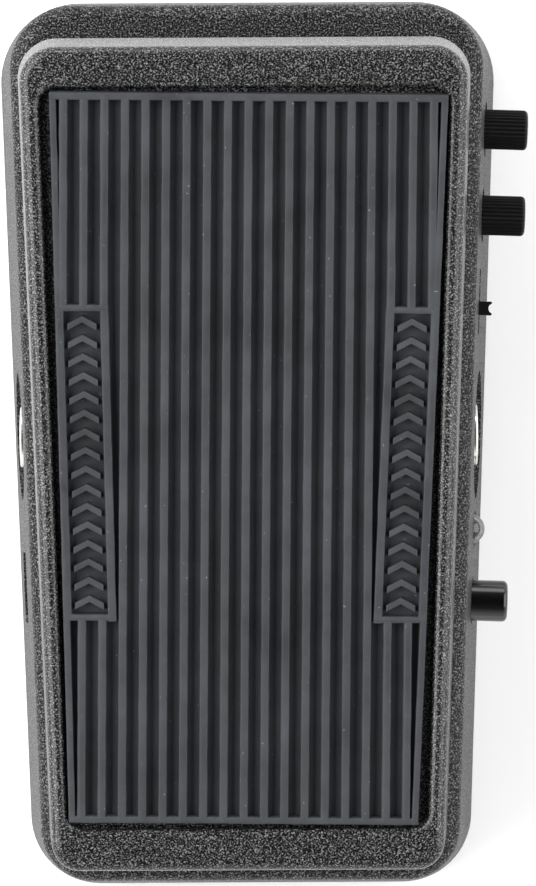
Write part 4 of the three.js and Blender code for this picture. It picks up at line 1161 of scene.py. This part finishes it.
def make_button():
    face = wall_face(LOW_CONTROL_Z)
    back, tip = face - 2.4, face + 5.1
    bend = tip - BUTTON_EDGE
    stem = 1.5
    steps = 8
    shape = [(0, back - 4), (stem, back - 4), (stem, back), (BUTTON_RADIUS, back), (BUTTON_RADIUS, bend)]
    shape += arc(BUTTON_EDGE, 0, math.pi / 2, steps, (BUTTON_RADIUS - BUTTON_EDGE, bend))[1:]
    shape += [(BUTTON_RADIUS - 1.2, tip), (BUTTON_RADIUS - 1.4, tip - 0.1), (0, tip - 0.14)]
    place = WALL @ at(0, BUTTON_Y, LOW_CONTROL_Z) @ ALONG_X
    stands_for(new_piece("push_button_cap", turned(shape), place), "boost_button")


def domed(radius, start, bend):
    """The profile of a pin that starts flat and ends in a half ball."""
    ball = arc(radius, 0, math.pi / 2, 12, (0, bend))[:-1]
    return [(0, start), (radius, start), *ball, (0, bend + radius)]


def make_led():
    """A clear domed shell over a dark glossy core."""
    face = wall_face(LOW_CONTROL_Z)
    back, tip = face - 4.6, face + 1.5
    bend = tip - LED_RADIUS
    rim = LED_RADIUS + 0.5
    flange = [(0, back), (rim, back), (rim, back + 1), (LED_RADIUS, back + 1)]
    place = WALL @ at(0, LED_Y, LOW_CONTROL_Z) @ ALONG_X
    lens = new_piece("led_lens", turned(flange + domed(LED_RADIUS, back, bend)[2:]), place)
    inside = LED_RADIUS - LED_SHELL
    combine(lens, [tool(turned(domed(inside, back + 0.4, bend)), place)], "DIFFERENCE")
    stands_for(lens, "status_led")
    core = turned(domed(inside - LED_GAP, back + 0.6, bend))
    goes_with(new_piece("led_core", core, place), "housing", "gloss_black")


# ------------------------------------------------------------------ sockets


def make_jacks():
    for word, turn in (("input", ALONG_X), ("output", ALONG_MINUS_X)):
        cad = f"{word}_jack_bushing"
        centre = middle(cad) / MM
        place = HOUSING @ at(0, centre.y, centre.z) @ turn
        sleeve = threaded(JACK_BORE, 4.75, 27.9, 33.5, pitch=0.8, depth=0.2)
        stands_for(new_piece(f"{word}_sleeve", sleeve, place), cad)
        nut = f"{word}_jack_nut"
        make_nut(f"{word}_nut", nut, 13, THREAD_HOLE_RADIUS, 29.9, 31.9, place)
        cad = f"{word}_jack_body"
        low, high = (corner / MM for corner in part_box(cad))
        shell = new_piece(f"{word}_socket_shell", rounded_block(low, high, 0.6))
        combine(shell, [tool(rod(JACK_BORE, 16.5, 30), place)], "DIFFERENCE")
        stands_for(shell, cad)


def make_power_socket():
    """The power socket's housing, with a round mouth, and its centre pin."""
    pin = middle("dc_socket_pin") / MM
    low, high = (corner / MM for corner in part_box("dc_socket_body"))
    shell = new_piece("power_socket_shell", rounded_block(low, high, 0.4))
    place = at(low.x, pin.y, pin.z) @ ALONG_X
    bore, depth = 2.9, 9
    mouth = [(0, -1), (bore + 0.3, -1), (bore + 0.3, 0), (bore, 0.35), (bore, depth), (0, depth)]
    combine(shell, [tool(turned(mouth), place)], "DIFFERENCE")
    stands_for(shell, "dc_socket_body")
    shape = [(0, 1), (0.6, 1), (0.85, 1.12), (1, 1.5), (1, 8.7), (0, 8.7)]
    stands_for(new_piece("power_socket_pin", turned(shape, SMALL_ROUND), place), "dc_socket_pin")


make_hanger()
make_sensor_nut()
make_footswitch()
make_bumpers()
make_knobs()
make_slider()
make_button()
make_led()
make_jacks()
make_power_socket()
